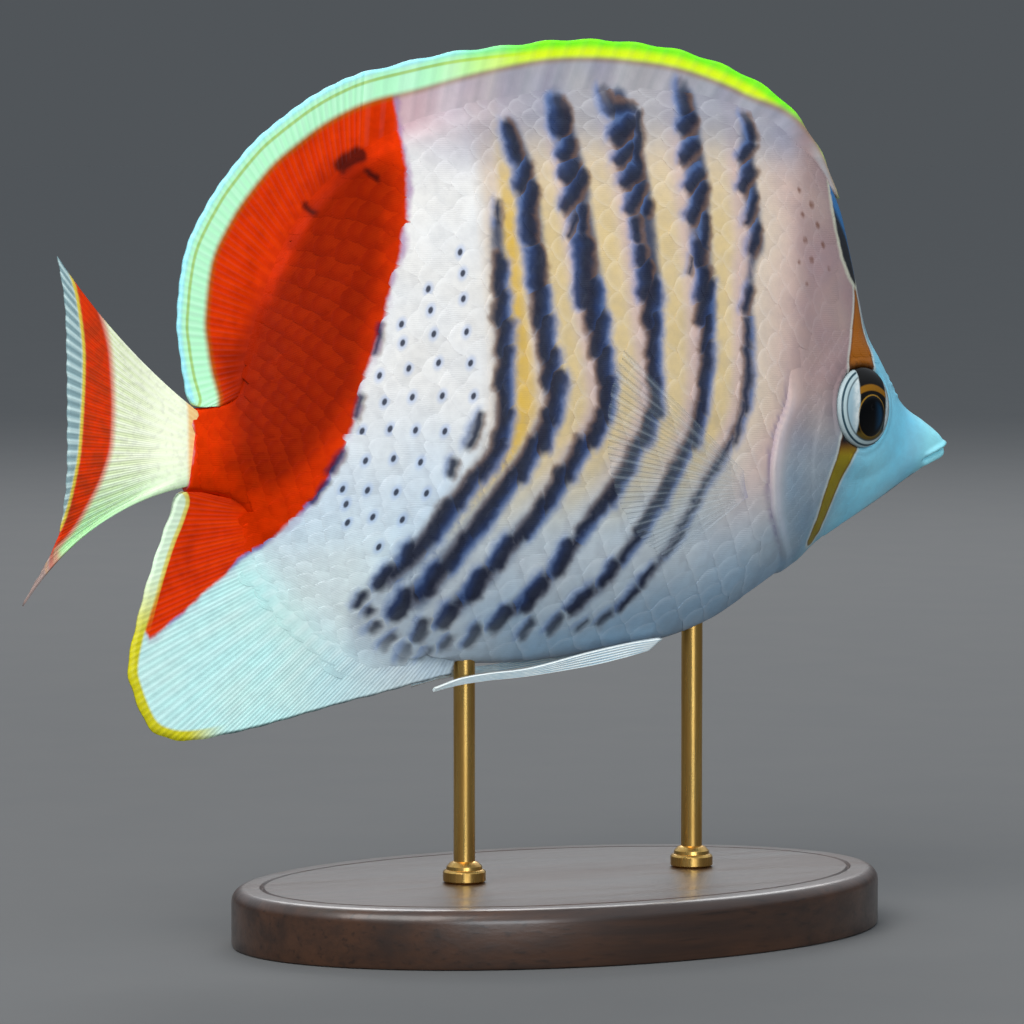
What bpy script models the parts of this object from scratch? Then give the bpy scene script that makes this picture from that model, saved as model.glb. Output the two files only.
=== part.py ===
"""A crown butterflyfish (Chaetodon paucifasciatus) as a still, life-size museum model on a stand.

The fish swims level, head towards +X, its middle plane on Y = 0. Z = 0 is the underside of the stand.
Outlines are side views, pairs (x, z) in millimetres, and MM turns them into the scene's metres.
"""

import math

import bmesh
import bpy
import numpy as np

MM = 0.001
GAP = 0.3           # millimetres kept between neighbouring pieces
KEEL = 0.8          # half thickness of the body along the edges that carry the fins
FIN_INSET = 2.0     # how far a fin's rays run into the body before the body is cut from them

# The body without its fins, tail end first: back, belly, level of the greatest width, half width there
BACK = [(-50.0, 65.2), (-46.0, 65.6), (-43.5, 66.6), (-42.0, 70.0), (-40.0, 76.0), (-37.0, 82.5),
        (-32.0, 89.0), (-26.0, 93.6), (-18.0, 97.0), (-8.0, 99.2), (2.0, 100.2), (12.0, 100.2),
        (22.0, 99.2), (29.0, 97.6), (33.2, 95.9), (36.4, 92.9), (38.9, 88.5), (40.5, 82.3),
        (42.0, 75.5), (44.4, 69.4), (46.8, 65.5), (49.1, 63.0), (51.7, 61.3), (53.6, 59.8), (54.6, 58.4)]
BELLY = [(-50.0, 55.1), (-46.0, 54.6), (-43.5, 53.5), (-41.0, 51.0), (-37.0, 46.5), (-32.0, 42.2),
         (-26.0, 38.2), (-20.0, 35.2), (-14.0, 33.4), (-6.0, 33.1), (1.4, 33.6), (8.0, 34.3),
         (14.5, 35.2), (20.0, 36.9), (26.0, 40.1), (31.5, 43.4), (36.0, 46.3), (41.0, 48.9),
         (46.0, 51.7), (49.3, 53.7), (52.0, 55.2), (53.7, 56.2), (54.6, 57.3)]
WIDEST_LEVEL = [(-50.0, 60.2), (-30.0, 60.0), (0.0, 58.0), (20.0, 57.0), (32.0, 59.0), (39.0, 61.5),
                (46.0, 59.5), (54.6, 57.8)]
HALF_WIDTH = [(-50.0, 1.8), (-46.0, 2.1), (-42.0, 2.8), (-36.0, 4.0), (-28.0, 5.5), (-15.0, 7.5),
              (0.0, 9.0), (12.0, 9.7), (22.0, 9.7), (28.0, 9.2), (34.0, 8.0), (39.0, 6.2), (44.0, 4.2),
              (48.0, 3.0), (51.0, 2.4), (53.4, 1.9), (54.6, 1.0)]
SNOUT_START, SNOUT_FULL = 38.0, 50.0    # sections turn from a lens to an ellipse between these
TAIL_CUT = -43.5    # where the tail stem is parted from the torso
TAIL_END = -49.3    # end of the tail stem, at its middle
TAIL_END_SLANT = 0.13
SNOUT_TIP = 54.6

# The free edge of the gill cover, and the line that carries it up to the nape, bottom first
GILL_EDGE = [(31.5, 30.0), (31.2, 40.0), (29.6, 44.0), (26.6, 48.0), (24.6, 52.0), (24.1, 56.0),
             (24.9, 60.5), (26.9, 65.0), (27.6, 70.0), (28.6, 80.0), (30.6, 90.0), (32.6, 99.0), (33.0, 106.0)]
GILL_SWELL = 0.55   # how far the gill cover stands over the torso
GILL_SWELL_LENGTH = 8.0
GILL_SWELL_SPAN = (40.0, 46.0, 62.0, 70.0)

# Each eye lies on a flat orbit that faces outwards and forwards
EYE_AT = (39.1, 6.2, 63.3)
EYE_RADIUS = 5.0
EYE_DOME, EYE_DEPTH = 1.5, 3.2
EYE_TURN_FORWARD, EYE_TURN_UP = 0.37, 0.05     # slopes of the orbit along x and z
ORBIT_FLAT, ORBIT_FADE = 5.6, 9.5

MOUTH_CORNER = (50.9, 56.3)
MOUTH_TIP = (54.9, 57.9)
MOUTH_OPENING = 0.55
LIP_RADIUS = 0.5
NOSTRILS = [(45.3, 66.3), (46.4, 64.9)]
NOSTRIL_RADIUS, NOSTRIL_DEPTH = 0.4, 0.9

# Free edges of the fins, and how many spines and soft rays each has
SPINY_DORSAL_EDGE = [(39.1, 88.9), (38.3, 91.4), (36.8, 94.4), (34.9, 97.3), (32.7, 99.8), (30.3, 101.8),
                     (26.5, 103.9), (22.2, 105.6), (16.5, 107.2), (10.8, 108.0), (5.1, 108.4), (-0.4, 108.3),
                     (-5.4, 107.8), (-14.7, 106.8), (-21.8, 105.4), (-26.2, 104.4)]
SOFT_DORSAL_EDGE = [(-26.6, 104.3), (-29.6, 103.2), (-33.3, 101.4), (-37.0, 99.0), (-40.9, 96.0), (-44.9, 91.6),
                    (-47.2, 88.3), (-49.3, 84.4), (-50.3, 80.4), (-50.8, 75.0), (-50.5, 72.0), (-50.0, 68.8),
                    (-49.3, 66.5), (-48.2, 65.7), (-45.5, 65.9)]
ANAL_EDGE = [(-15.0, 32.2), (-19.4, 31.4), (-24.6, 30.3), (-29.7, 29.4), (-40.2, 27.2), (-45.3, 26.4),
             (-48.9, 26.0), (-52.0, 26.3), (-54.7, 27.9), (-56.8, 32.5), (-57.2, 35.5), (-55.9, 40.9),
             (-54.6, 45.3), (-53.0, 49.8), (-52.0, 52.1), (-51.3, 53.8), (-50.3, 54.8), (-47.8, 54.8)]
CAUDAL_EDGE = [(-65.9, 83.0), (-65.0, 77.5), (-64.8, 70.0), (-64.8, 62.0), (-64.9, 55.0), (-65.6, 49.5),
               (-69.2, 42.4)]
DORSAL_SPINES, DORSAL_RAYS, ANAL_RAYS, CAUDAL_RAYS = 13, 22, 21, 17
PECTORAL_RAYS, PELVIC_RAYS = 14, 6

PECTORAL_ROOT = (20.8, 54.0)        # middle of the root, in the side view
PECTORAL_ROOT_SPAN = 2.6
PECTORAL_ANGLES = (142.0, 208.0)    # first and last ray, turning from forwards through up
PECTORAL_LENGTHS = (27.5, 14.5)
PECTORAL_FLARE = 17.0               # degrees that the fin stands away from the body
PELVIC_TOP = [(12.4, 35.7), (8.0, 35.3), (2.0, 34.4), (-6.0, 32.9), (-11.5, 32.5), (-15.4, 32.0), (-18.6, 31.0)]
PELVIC_BOTTOM = [(10.8, 34.4), (7.0, 33.6), (2.0, 32.8), (-6.0, 32.0), (-11.5, 31.7), (-15.4, 31.3), (-18.7, 30.7)]
PELVIC_OUT = 3.0                    # distance of each pelvic fin from the middle plane

BASE_SIZE = (84.0, 56.0, 7.0)
BASE_EDGE = 1.6
ROD_RADIUS = 1.3
ROD_PLACES = {"stand_rod_front": 18.5, "stand_rod_rear": -13.0}
ROD_FERRULE_RADIUS, ROD_FERRULE_HEIGHT = 2.6, 2.2

PALETTE = {
    "skin": ((0.78, 0.76, 0.80), 0.35, 0.0),
    "red_skin": ((0.72, 0.10, 0.03), 0.35, 0.0),
    "fin": ((0.80, 0.86, 0.80), 0.30, 0.0),
    "eye": ((0.02, 0.02, 0.03), 0.08, 0.0),
    "wood": ((0.10, 0.06, 0.04), 0.45, 0.0),
    "brass": ((0.80, 0.62, 0.30), 0.28, 1.0),
}


def smooth_through(stations, x):
    """Height of a smooth curve through the stations at x, with no overshoot between them."""
    xs, ys = np.array(stations, float).T
    steps = np.diff(xs)
    slopes = np.diff(ys) / steps
    tangents = np.empty(len(xs))
    tangents[0], tangents[-1] = slopes[0], slopes[-1]
    for i in range(1, len(xs) - 1):
        before, after = slopes[i - 1], slopes[i]
        tangents[i] = 0.0 if before * after <= 0 else 2 * before * after / (before + after)
    x = np.clip(np.asarray(x, float), xs[0], xs[-1])
    i = np.clip(np.searchsorted(xs, x) - 1, 0, len(xs) - 2)
    t = (x - xs[i]) / steps[i]
    return (ys[i] * (1 + 2 * t) * (1 - t) ** 2 + ys[i + 1] * t ** 2 * (3 - 2 * t)
            + steps[i] * (tangents[i] * t * (1 - t) ** 2 - tangents[i + 1] * t ** 2 * (1 - t)))


def along(points, count, fractions=None, fine=40):
    """Points evenly spaced along a smooth line through the given ones, or at the given shares of its length."""
    p = np.array(points, float)
    padded = np.vstack([2 * p[0] - p[1], p, 2 * p[-1] - p[-2]])
    t = np.linspace(0, 1, fine, endpoint=False)[:, None]
    runs = []
    for a, b, c, d in zip(padded, padded[1:], padded[2:], padded[3:]):
        runs.append(0.5 * (2 * b + (c - a) * t + (2 * a - 5 * b + 4 * c - d) * t ** 2
                           + (3 * b - a - 3 * c + d) * t ** 3))
    line = np.vstack(runs + [p[-1:]])
    length = np.concatenate([[0], np.cumsum(np.linalg.norm(np.diff(line, axis=0), axis=1))])
    wanted = np.linspace(0, 1, count) if fractions is None else np.asarray(fractions)
    return np.stack([np.interp(wanted * length[-1], length, line[:, k]) for k in range(2)], axis=1)


def smoothstep(low, high, value):
    t = np.clip((value - low) / (high - low), 0, 1)
    return t * t * (3 - 2 * t)


def gill_swell(x, z):
    """The gill cover's lift, growing towards its free edge and fading at its top and bottom."""
    gill_x = smooth_through([(b, a) for a, b in GILL_EDGE], z)
    near_edge = 1 - smoothstep(0, GILL_SWELL_LENGTH, x - gill_x)
    low, full_low, full_high, high = GILL_SWELL_SPAN
    return GILL_SWELL * near_edge * smoothstep(low, full_low, z) * (1 - smoothstep(full_high, high, z))


def half_width(x, z, grow=0.0, head=False):
    """Half the body's thickness at a place of its side view, in millimetres."""
    top = smooth_through(BACK, x) + grow
    bottom = smooth_through(BELLY, x) - grow
    level = smooth_through(WIDEST_LEVEL, x)
    widest = smooth_through(HALF_WIDTH, x)
    upper = z >= level
    half_height = np.where(upper, top - level, level - bottom)
    tau = np.clip(np.abs(z - level) / half_height, 0, 1)
    lens = np.where(upper, (1 - tau ** 1.8) ** 0.95, (1 - tau ** 2.1) ** 0.8)
    ellipse = np.sqrt(1 - tau ** 2)
    snout = smoothstep(SNOUT_START, SNOUT_FULL, x)
    keel = np.minimum(KEEL, widest)
    width = keel + (widest - keel) * (lens * (1 - snout) + ellipse * snout)
    from_eye = np.hypot(x - EYE_AT[0], z - EYE_AT[2])
    flat = 1 - smoothstep(ORBIT_FLAT, ORBIT_FADE, from_eye)
    orbit = EYE_AT[1] - EYE_TURN_FORWARD * (x - EYE_AT[0]) - EYE_TURN_UP * (z - EYE_AT[2])
    width = width * (1 - flat) + orbit * flat
    if head:
        width = width + gill_swell(x, z)
    cap = np.clip((tau - (1 - keel / half_height)) / (keel / half_height), 0, 1)
    blunt = 1 - np.maximum(cap, 0) ** 2
    snout_cap = np.sqrt(np.clip(1 - tau ** 4, 0, 1))
    return (width + grow) * (np.sqrt(blunt) * (1 - snout) + np.minimum(np.sqrt(blunt), snout_cap) * snout)


def body_ring(x, count, grow=0.0, head=False):
    """One section of the body across its length."""
    top = float(smooth_through(BACK, x)) + grow
    bottom = float(smooth_through(BELLY, x)) - grow
    level = float(smooth_through(WIDEST_LEVEL, x))
    angles = np.arange(count) * 2 * math.pi / count
    sine = np.sin(angles)
    z = np.where(sine >= 0, level + (top - level) * sine, level + (level - bottom) * sine)
    y = half_width(np.full(count, x), z, grow, head) * np.sign(np.round(np.cos(angles), 9))
    slant = TAIL_END_SLANT * (z - level) * (1 - smoothstep(TAIL_END, TAIL_CUT, x))
    return np.stack([x + slant, y, z], axis=1)


def body_stations(first, last, count):
    """Places along the fish that are evenly spaced along its back and belly together."""
    x = np.linspace(first, last, 800)
    steps = np.hypot(np.diff(x), np.diff(smooth_through(BACK, x))) + np.hypot(
        np.diff(x), np.diff(smooth_through(BELLY, x)))
    length = np.concatenate([[0], np.cumsum(steps)])
    return np.interp(np.linspace(0, length[-1], count), length, x)


def link(name, mesh, collection):
    obj = bpy.data.objects.new(name, mesh)
    collection.objects.link(obj)
    return obj


def loft(name, rings, collection):
    """A closed skin over a row of rings with the same number of points, capped flat at both ends."""
    count = len(rings[0])
    mesh = bpy.data.meshes.new(name)
    points = [tuple(p * MM) for ring in rings for p in ring]
    faces = [list(range(count)), [(len(rings) - 1) * count + i for i in reversed(range(count))]]
    for r in range(len(rings) - 1):
        for i in range(count):
            a, b = r * count + i, r * count + (i + 1) % count
            faces.append([a, a + count, b + count, b])
    mesh.from_pydata(points, [], faces)
    bm = bmesh.new()
    bm.from_mesh(mesh)
    bmesh.ops.recalc_face_normals(bm, faces=bm.faces)
    bm.to_mesh(mesh)
    bm.free()
    return link(name, mesh, collection)


def prism(name, outline, half_depth, collection):
    """A flat side-view outline given thickness across the fish."""
    curve = bpy.data.curves.new(name, "CURVE")
    curve.dimensions = "2D"
    curve.fill_mode = "BOTH"
    curve.extrude = half_depth * MM
    spline = curve.splines.new("POLY")
    spline.points.add(len(outline) - 1)
    for point, (x, z) in zip(spline.points, outline):
        point.co = (x * MM, z * MM, 0, 1)
    spline.use_cyclic_u = True
    obj = link(name, curve, collection)
    obj.rotation_euler = (math.pi / 2, 0, 0)
    return as_mesh(obj)


def as_mesh(obj):
    """Replaces an object by its evaluated mesh, in world space and welded, under the same name."""
    bpy.context.view_layer.update()
    graph = bpy.context.evaluated_depsgraph_get()
    mesh = bpy.data.meshes.new_from_object(obj.evaluated_get(graph))
    mesh.transform(obj.matrix_world)
    bm = bmesh.new()
    bm.from_mesh(mesh)
    bmesh.ops.remove_doubles(bm, verts=bm.verts, dist=0.001 * MM)
    bmesh.ops.recalc_face_normals(bm, faces=bm.faces)
    bm.to_mesh(mesh)
    bm.free()
    name, collection = obj.name, obj.users_collection[0]
    bpy.data.objects.remove(obj)
    new = link(name, mesh, collection)
    return new


def keep_largest(obj):
    """Leaves only the largest closed surface of a mesh."""
    bm = bmesh.new()
    bm.from_mesh(obj.data)
    left = set(bm.verts)
    groups = []
    while left:
        front, group = [left.pop()], []
        while front:
            vert = front.pop()
            group.append(vert)
            for edge in vert.link_edges:
                other = edge.other_vert(vert)
                if other in left:
                    left.remove(other)
                    front.append(other)
        groups.append(group)
    groups.sort(key=len)
    bmesh.ops.delete(bm, geom=[v for group in groups[:-1] for v in group], context="VERTS")
    bm.to_mesh(obj.data)
    bm.free()


def carve(obj, others, operation="DIFFERENCE"):
    """Applies Booleans of the other objects to this one, in turn, and keeps the main body."""
    for other in others:
        modifier = obj.modifiers.new("carve", "BOOLEAN")
        modifier.operation = operation
        modifier.object = other
        modifier.solver = "EXACT"
    done = as_mesh(obj)
    keep_largest(done)
    return done


def mirrored(obj, name):
    """The same piece on the fish's other side."""
    bm = bmesh.new()
    bm.from_mesh(obj.data)
    for vert in bm.verts:
        vert.co.y = -vert.co.y
    bmesh.ops.reverse_faces(bm, faces=bm.faces)
    mesh = bpy.data.meshes.new(name)
    bm.to_mesh(mesh)
    bm.free()
    return link(name, mesh, obj.users_collection[0])


def helper(obj):
    obj.hide_render = True
    obj.display_type = "WIRE"
    return obj


def gill_outline(shift):
    """Side-view outline of everything ahead of the gill edge, which is moved along x by shift."""
    edge = along(GILL_EDGE, 25)
    return [(x + shift, z) for x, z in edge] + [(SNOUT_TIP + 10, 106.0), (SNOUT_TIP + 10, 30.0)]


def eye_frame(side):
    """Centre of the eye and its three directions: outwards, forwards along the orbit, and up."""
    outward = np.array([EYE_TURN_FORWARD, side, EYE_TURN_UP])
    outward /= np.linalg.norm(outward)
    forward = np.cross([0, 0, 1], outward) * -side
    forward /= np.linalg.norm(forward)
    up = np.cross(outward, forward) * side
    centre = np.array([EYE_AT[0], side * EYE_AT[1], EYE_AT[2]])
    return centre, outward, forward, up


def eyeball(name, side, grow, collection, segments=20, rings=10):
    """A ball that is deep behind the orbit's plane and a shallow dome in front of it."""
    bm = bmesh.new()
    bmesh.ops.create_uvsphere(bm, u_segments=segments, v_segments=rings, radius=1)
    centre, outward, forward, up = eye_frame(side)
    for vert in bm.verts:
        a, b, c = vert.co
        depth = (EYE_DOME if c > 0 else EYE_DEPTH) + grow
        radius = EYE_RADIUS + grow
        vert.co = (centre + outward * c * depth + forward * a * radius + up * b * radius) * MM
    bm.normal_update()
    bmesh.ops.recalc_face_normals(bm, faces=bm.faces)
    mesh = bpy.data.meshes.new(name)
    bm.to_mesh(mesh)
    bm.free()
    return link(name, mesh, collection)


def lip(name, height, collection):
    """A lip: a round bead from one mouth corner round the snout's tip to the other."""
    curve = bpy.data.curves.new(name, "CURVE")
    curve.dimensions = "3D"
    curve.bevel_depth = LIP_RADIUS * MM
    curve.bevel_resolution = 1
    curve.use_fill_caps = True
    spline = curve.splines.new("POLY")
    count = 15
    spline.points.add(count - 1)
    for i, point in enumerate(spline.points):
        turn = math.pi * (i / (count - 1) - 0.5)
        x = MOUTH_CORNER[0] + (MOUTH_TIP[0] - 0.75 - MOUTH_CORNER[0]) * math.cos(turn) ** 0.8
        share = (x - MOUTH_CORNER[0]) / (MOUTH_TIP[0] - MOUTH_CORNER[0])
        z = MOUTH_CORNER[1] + (MOUTH_TIP[1] - MOUTH_CORNER[1]) * share + height * (0.35 + 0.65 * share)
        y = (float(half_width(x, z)) - 0.28) * math.sin(turn) / max(abs(math.sin(turn)), 0.35)
        point.co = (x * MM, y * MM, z * MM, 1)
    return as_mesh(link(name, curve, collection))


def mouth_slit(collection):
    """The thin wedge between the lips."""
    (x0, z0), (x1, z1) = MOUTH_CORNER, MOUTH_TIP
    half = MOUTH_OPENING / 2
    outline = [(x0, z0), (x1 + 1, z1 - half), (x1 + 1, z1 + half)]
    return prism("cut_mouth", outline, 6, collection)


def nostril(name, place, side, collection):
    x, z = place
    bm = bmesh.new()
    bmesh.ops.create_uvsphere(bm, u_segments=10, v_segments=6, radius=1)
    centre = np.array([x, side * float(half_width(x, z, head=True)), z])
    for vert in bm.verts:
        a, b, c = vert.co
        vert.co = (centre + np.array([a * NOSTRIL_RADIUS, b * NOSTRIL_DEPTH, c * NOSTRIL_RADIUS])) * MM
    mesh = bpy.data.meshes.new(name)
    bm.to_mesh(mesh)
    bm.free()
    return link(name, mesh, collection)


def fin(name, roots, tips, thickness, collection, rows=6, notch=0.25, lift=None, bend=None):
    """A fin from ray to ray. Each ray is a ridge, and the membrane between two rays is thinner.

    roots and tips give two ends for each ray and each gap between rays, in turn: ray, gap, ray and so on.
    thickness(row share, column share, is_ray) is in millimetres. lift(point, row share, column share)
    places a side-view point across the fish.
    """
    columns = len(roots)
    mesh = bpy.data.meshes.new(name)
    points, weights, thickest = [], [], 0.0
    for r in range(rows):
        share = r / (rows - 1)
        for c in range(columns):
            is_ray = c % 2 == 0
            reach = share * (1.0 if is_ray else 1 - notch / np.linalg.norm(tips[c] - roots[c]))
            place = roots[c] + (tips[c] - roots[c]) * reach
            across = np.array([tips[c][1] - roots[c][1], roots[c][0] - tips[c][0]])
            if bend:
                place = place + across * bend(c / (columns - 1)) * share * (1 - share)
            y = lift(place, share, c / (columns - 1)) if lift else 0.0
            points.append((place[0] * MM, y * MM, place[1] * MM))
            weights.append(thickness(share, c / (columns - 1), is_ray))
    thickest = max(weights)
    faces = []
    for r in range(rows - 1):
        for c in range(columns - 1):
            a = r * columns + c
            b, d, e = a + 1, a + columns, a + columns + 1
            faces += [(a, b, e), (a, e, d)] if c % 2 == 0 else [(a, b, d), (b, e, d)]
    mesh.from_pydata(points, [], faces)
    obj = link(name, mesh, collection)
    group = obj.vertex_groups.new(name="thickness")
    for i, weight in enumerate(weights):
        group.add([i], weight / thickest, "REPLACE")
    shell = obj.modifiers.new("thickness", "SOLIDIFY")
    shell.thickness = thickest * MM
    shell.offset = 0
    shell.vertex_group = "thickness"
    shell.thickness_vertex_group = 0.0
    return obj


def fan_columns(root_line, tip_line, rays):
    """Ends of each ray and of each gap between rays, evenly spaced along both lines."""
    columns = 2 * rays - 1
    return along(root_line, columns), along(tip_line, columns)


def sunk(roots, tips, depth):
    """Root points moved into the body along their rays."""
    lengths = np.linalg.norm(tips - roots, axis=1, keepdims=True)
    return roots - (tips - roots) / lengths * depth


def median_thickness(at_root, at_edge, membrane):
    """Thickness of a fin in the middle plane: thick at the body, thin at its edge, ridged at the rays."""
    def thickness(row, column, is_ray):
        ray = at_root + (at_edge - at_root) * row ** 0.8
        return ray if is_ray else max(0.5, ray * membrane)
    return thickness


def dorsal_and_anal(collection, keepout):
    back_line = [(x, float(smooth_through(BACK, x)) - KEEL) for x in np.linspace(37.7, -27.0, 30)]
    soft_line = [(x, float(smooth_through(BACK, x)) - KEEL) for x in np.linspace(-27.4, TAIL_CUT + 0.3, 30)]
    anal_line = [(x, float(smooth_through(BELLY, x)) + KEEL) for x in np.linspace(-14.5, TAIL_CUT + 0.3, 30)]
    made = []
    for name, root_line, edge, rays, notch in (
            ("dorsal_fin_spiny", back_line, SPINY_DORSAL_EDGE, DORSAL_SPINES, 0.8),
            ("dorsal_fin_soft", soft_line, SOFT_DORSAL_EDGE, DORSAL_RAYS, 0.2),
            ("anal_fin", anal_line, ANAL_EDGE, ANAL_RAYS, 0.2)):
        roots, tips = fan_columns(root_line, edge, rays)
        thick = median_thickness(1.5, 0.62, 0.68)
        obj = fin(name, sunk(roots, tips, FIN_INSET), tips, thick, collection, rows=6, notch=notch)
        made.append(carve(obj, [keepout]))
    return made


def caudal(collection, keepout):
    root_line = [(TAIL_END + 0.6, 65.1), (TAIL_END + 0.1, 62.0), (TAIL_END - 0.4, 58.5), (TAIL_END - 0.8, 55.5)]
    roots, tips = fan_columns(root_line, CAUDAL_EDGE, CAUDAL_RAYS)

    def thickness(row, column, is_ray):
        fleshy = (1 - smoothstep(0, 0.42, row)) * math.sqrt(1 - (2 * column - 1) ** 4) ** 0.5
        ray = 0.95 - 0.35 * row + 2.0 * fleshy
        return ray if is_ray else max(0.5, ray - 0.28)

    def curl(place, row, column):
        return 3.0 * row ** 2 * smoothstep(0.55, 1.0, column)

    def hollow(column):
        return 0.48 * smoothstep(0.7, 1.0, column) - 0.16 * (1 - smoothstep(0.0, 0.3, column))

    obj = fin("caudal_fin", sunk(roots, tips, 1.0), tips, thickness, collection, rows=9, notch=0.15,
              lift=curl, bend=hollow)
    return carve(obj, [keepout])


def pectorals(collection, keepout):
    """The fins flare from their roots behind the gill covers, back and out."""
    columns = 2 * PECTORAL_RAYS - 1
    share = np.linspace(0, 1, columns)
    angles = np.radians(PECTORAL_ANGLES[0] + (PECTORAL_ANGLES[1] - PECTORAL_ANGLES[0]) * share)
    lengths = PECTORAL_LENGTHS[0] + (PECTORAL_LENGTHS[1] - PECTORAL_LENGTHS[0]) * share ** 1.6
    root_x, root_z = PECTORAL_ROOT
    along_root = (share - 0.5) * PECTORAL_ROOT_SPAN
    roots = np.stack([root_x - 0.4 * along_root, root_z - along_root], axis=1)
    out = math.tan(math.radians(PECTORAL_FLARE))
    foreshortened = math.cos(math.radians(PECTORAL_FLARE))
    tips = roots + np.stack([np.cos(angles), np.sin(angles)], axis=1) * (lengths * foreshortened)[:, None]
    base = float(half_width(root_x, root_z)) - 0.6

    def lift(place, row, column):
        back = root_x - place[0]
        return -(base + max(back, -2.0) * out + 1.2 * row * (1 - row))

    def thickness(row, column, is_ray):
        ray = 1.05 - 0.45 * row
        return ray if is_ray else max(0.5, ray - 0.25)

    obj = fin("pectoral_fin_right", sunk(roots, tips, 1.6), tips, thickness, collection, notch=0.3, lift=lift)
    mirrored(carve(obj, [keepout]), "pectoral_fin_left")


def pelvics(collection, keepout):
    """Folded strips along the belly, their rays running lengthwise and their tips drawn out to threads."""
    columns = 2 * PELVIC_RAYS - 1
    rows = 12
    top, bottom = along(PELVIC_TOP, rows), along(PELVIC_BOTTOM, rows)
    name = "pelvic_fin_right"
    mesh = bpy.data.meshes.new(name)
    points, weights, faces = [], [], []
    for r in range(rows):
        share = r / (rows - 1)
        for c in range(columns):
            across = c / (columns - 1)
            x, z = top[r] + (bottom[r] - top[r]) * across
            out = PELVIC_OUT + 0.5 * math.sin(math.pi * share) + 0.3 * (0.5 - across)
            points.append((x * MM, -out * MM, z * MM))
            weights.append((1.0 if c % 2 == 0 else 0.75) * (1.05 - 0.5 * share))
    for r in range(rows - 1):
        for c in range(columns - 1):
            a = r * columns + c
            b, d, e = a + 1, a + columns, a + columns + 1
            faces += [(a, b, e), (a, e, d)]
    mesh.from_pydata(points, [], faces)
    obj = link(name, mesh, collection)
    group = obj.vertex_groups.new(name="thickness")
    for i, weight in enumerate(weights):
        group.add([i], weight / max(weights), "REPLACE")
    shell = obj.modifiers.new("thickness", "SOLIDIFY")
    shell.thickness = max(weights) * MM
    shell.offset = 0
    shell.vertex_group = "thickness"
    shell.thickness_vertex_group = 0.0
    mirrored(carve(obj, [keepout]), "pelvic_fin_left")


def fish_body(collection, cutters):
    ring_points = 32
    head_x = body_stations(23.0, SNOUT_TIP, 32)
    head = loft("head", [body_ring(x, ring_points, head=True) for x in head_x], collection)
    torso_x = body_stations(TAIL_CUT, 36.0, 40)
    torso = loft("torso", [body_ring(x, ring_points) for x in torso_x], collection)
    stem_x = np.linspace(TAIL_END, TAIL_CUT - GAP, 6)
    loft("tail_stem", [body_ring(x, ring_points) for x in stem_x], collection)
    ahead_of_gill = helper(prism("cut_ahead_of_gill", gill_outline(GAP / 2), 14, cutters))
    not_torso = helper(prism("cut_not_torso", gill_outline(-GAP / 2), 14, cutters))
    head = carve(head, [ahead_of_gill], "INTERSECT")
    carve(torso, [not_torso])

    upper_lip = lip("lip_upper", 0.62, cutters)
    lower_lip = lip("lip_lower", -0.62, cutters)
    head = carve(head, [helper(upper_lip), helper(lower_lip)], "UNION")
    holes = [helper(mouth_slit(cutters))]
    for side in (-1, 1):
        holes.append(helper(eyeball("cut_orbit", side, GAP, cutters)))
        holes += [helper(nostril("cut_nostril", place, side, cutters)) for place in NOSTRILS]
    carve(head, holes)
    mirrored(eyeball("eye_right", -1, 0.0, collection), "eye_left")


def keepout_body(cutters):
    """The whole body swollen by the gap: what every fin and rod is cut back from."""
    stations = body_stations(TAIL_END - GAP, SNOUT_TIP, 60)
    return helper(loft("cut_body", [body_ring(x, 44, grow=GAP) for x in stations], cutters))


def stand(collection, keepout):
    length, width, height = BASE_SIZE
    turns = np.arange(48) * math.pi / 24
    profile = [(0.5, 0.0), (0.0, 0.5)]
    for step in range(4):
        turn = math.pi / 2 * step / 3
        profile.append((BASE_EDGE * (1 - math.cos(turn)), height - BASE_EDGE * (1 - math.sin(turn))))
    rings = [np.stack([(length / 2 - inset) * np.cos(turns), (width / 2 - inset) * np.sin(turns),
                       np.full(len(turns), z)], axis=1) for inset, z in profile]
    loft("stand_base", rings, collection)
    for name, x in ROD_PLACES.items():
        foot = BASE_SIZE[2] + GAP
        top = float(smooth_through(BELLY, x)) + 4
        profile = [(ROD_FERRULE_RADIUS, foot), (ROD_FERRULE_RADIUS, foot + ROD_FERRULE_HEIGHT * 0.7),
                   (ROD_FERRULE_RADIUS - 0.5, foot + ROD_FERRULE_HEIGHT),
                   (ROD_RADIUS, foot + ROD_FERRULE_HEIGHT), (ROD_RADIUS, top)]
        rings = [np.array([[x + r * math.cos(a), r * math.sin(a), z] for a in np.arange(20) * math.pi / 10])
                 for r, z in profile]
        carve(loft(name, rings, collection), [keepout])


def paint(collection):
    slots = {"tail_stem": "red_skin", "head": "skin", "torso": "skin", "stand_base": "wood"}
    for obj in collection.objects:
        slot = slots.get(obj.name)
        if slot is None:
            slot = "brass" if obj.name.startswith("stand_rod") else "eye" if obj.name.startswith("eye") else "fin"
        material = bpy.data.materials.get(slot) or bpy.data.materials.new(slot)
        colour, roughness, metallic = PALETTE[slot]
        material.use_nodes = True
        shader = material.node_tree.nodes["Principled BSDF"]
        shader.inputs["Base Color"].default_value = (*colour, 1)
        shader.inputs["Roughness"].default_value = roughness
        shader.inputs["Metallic"].default_value = metallic
        obj.data.materials.clear()
        obj.data.materials.append(material)
        obj.data.shade_smooth()
        obj.data.set_sharp_from_angle(angle=math.radians(40))


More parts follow.
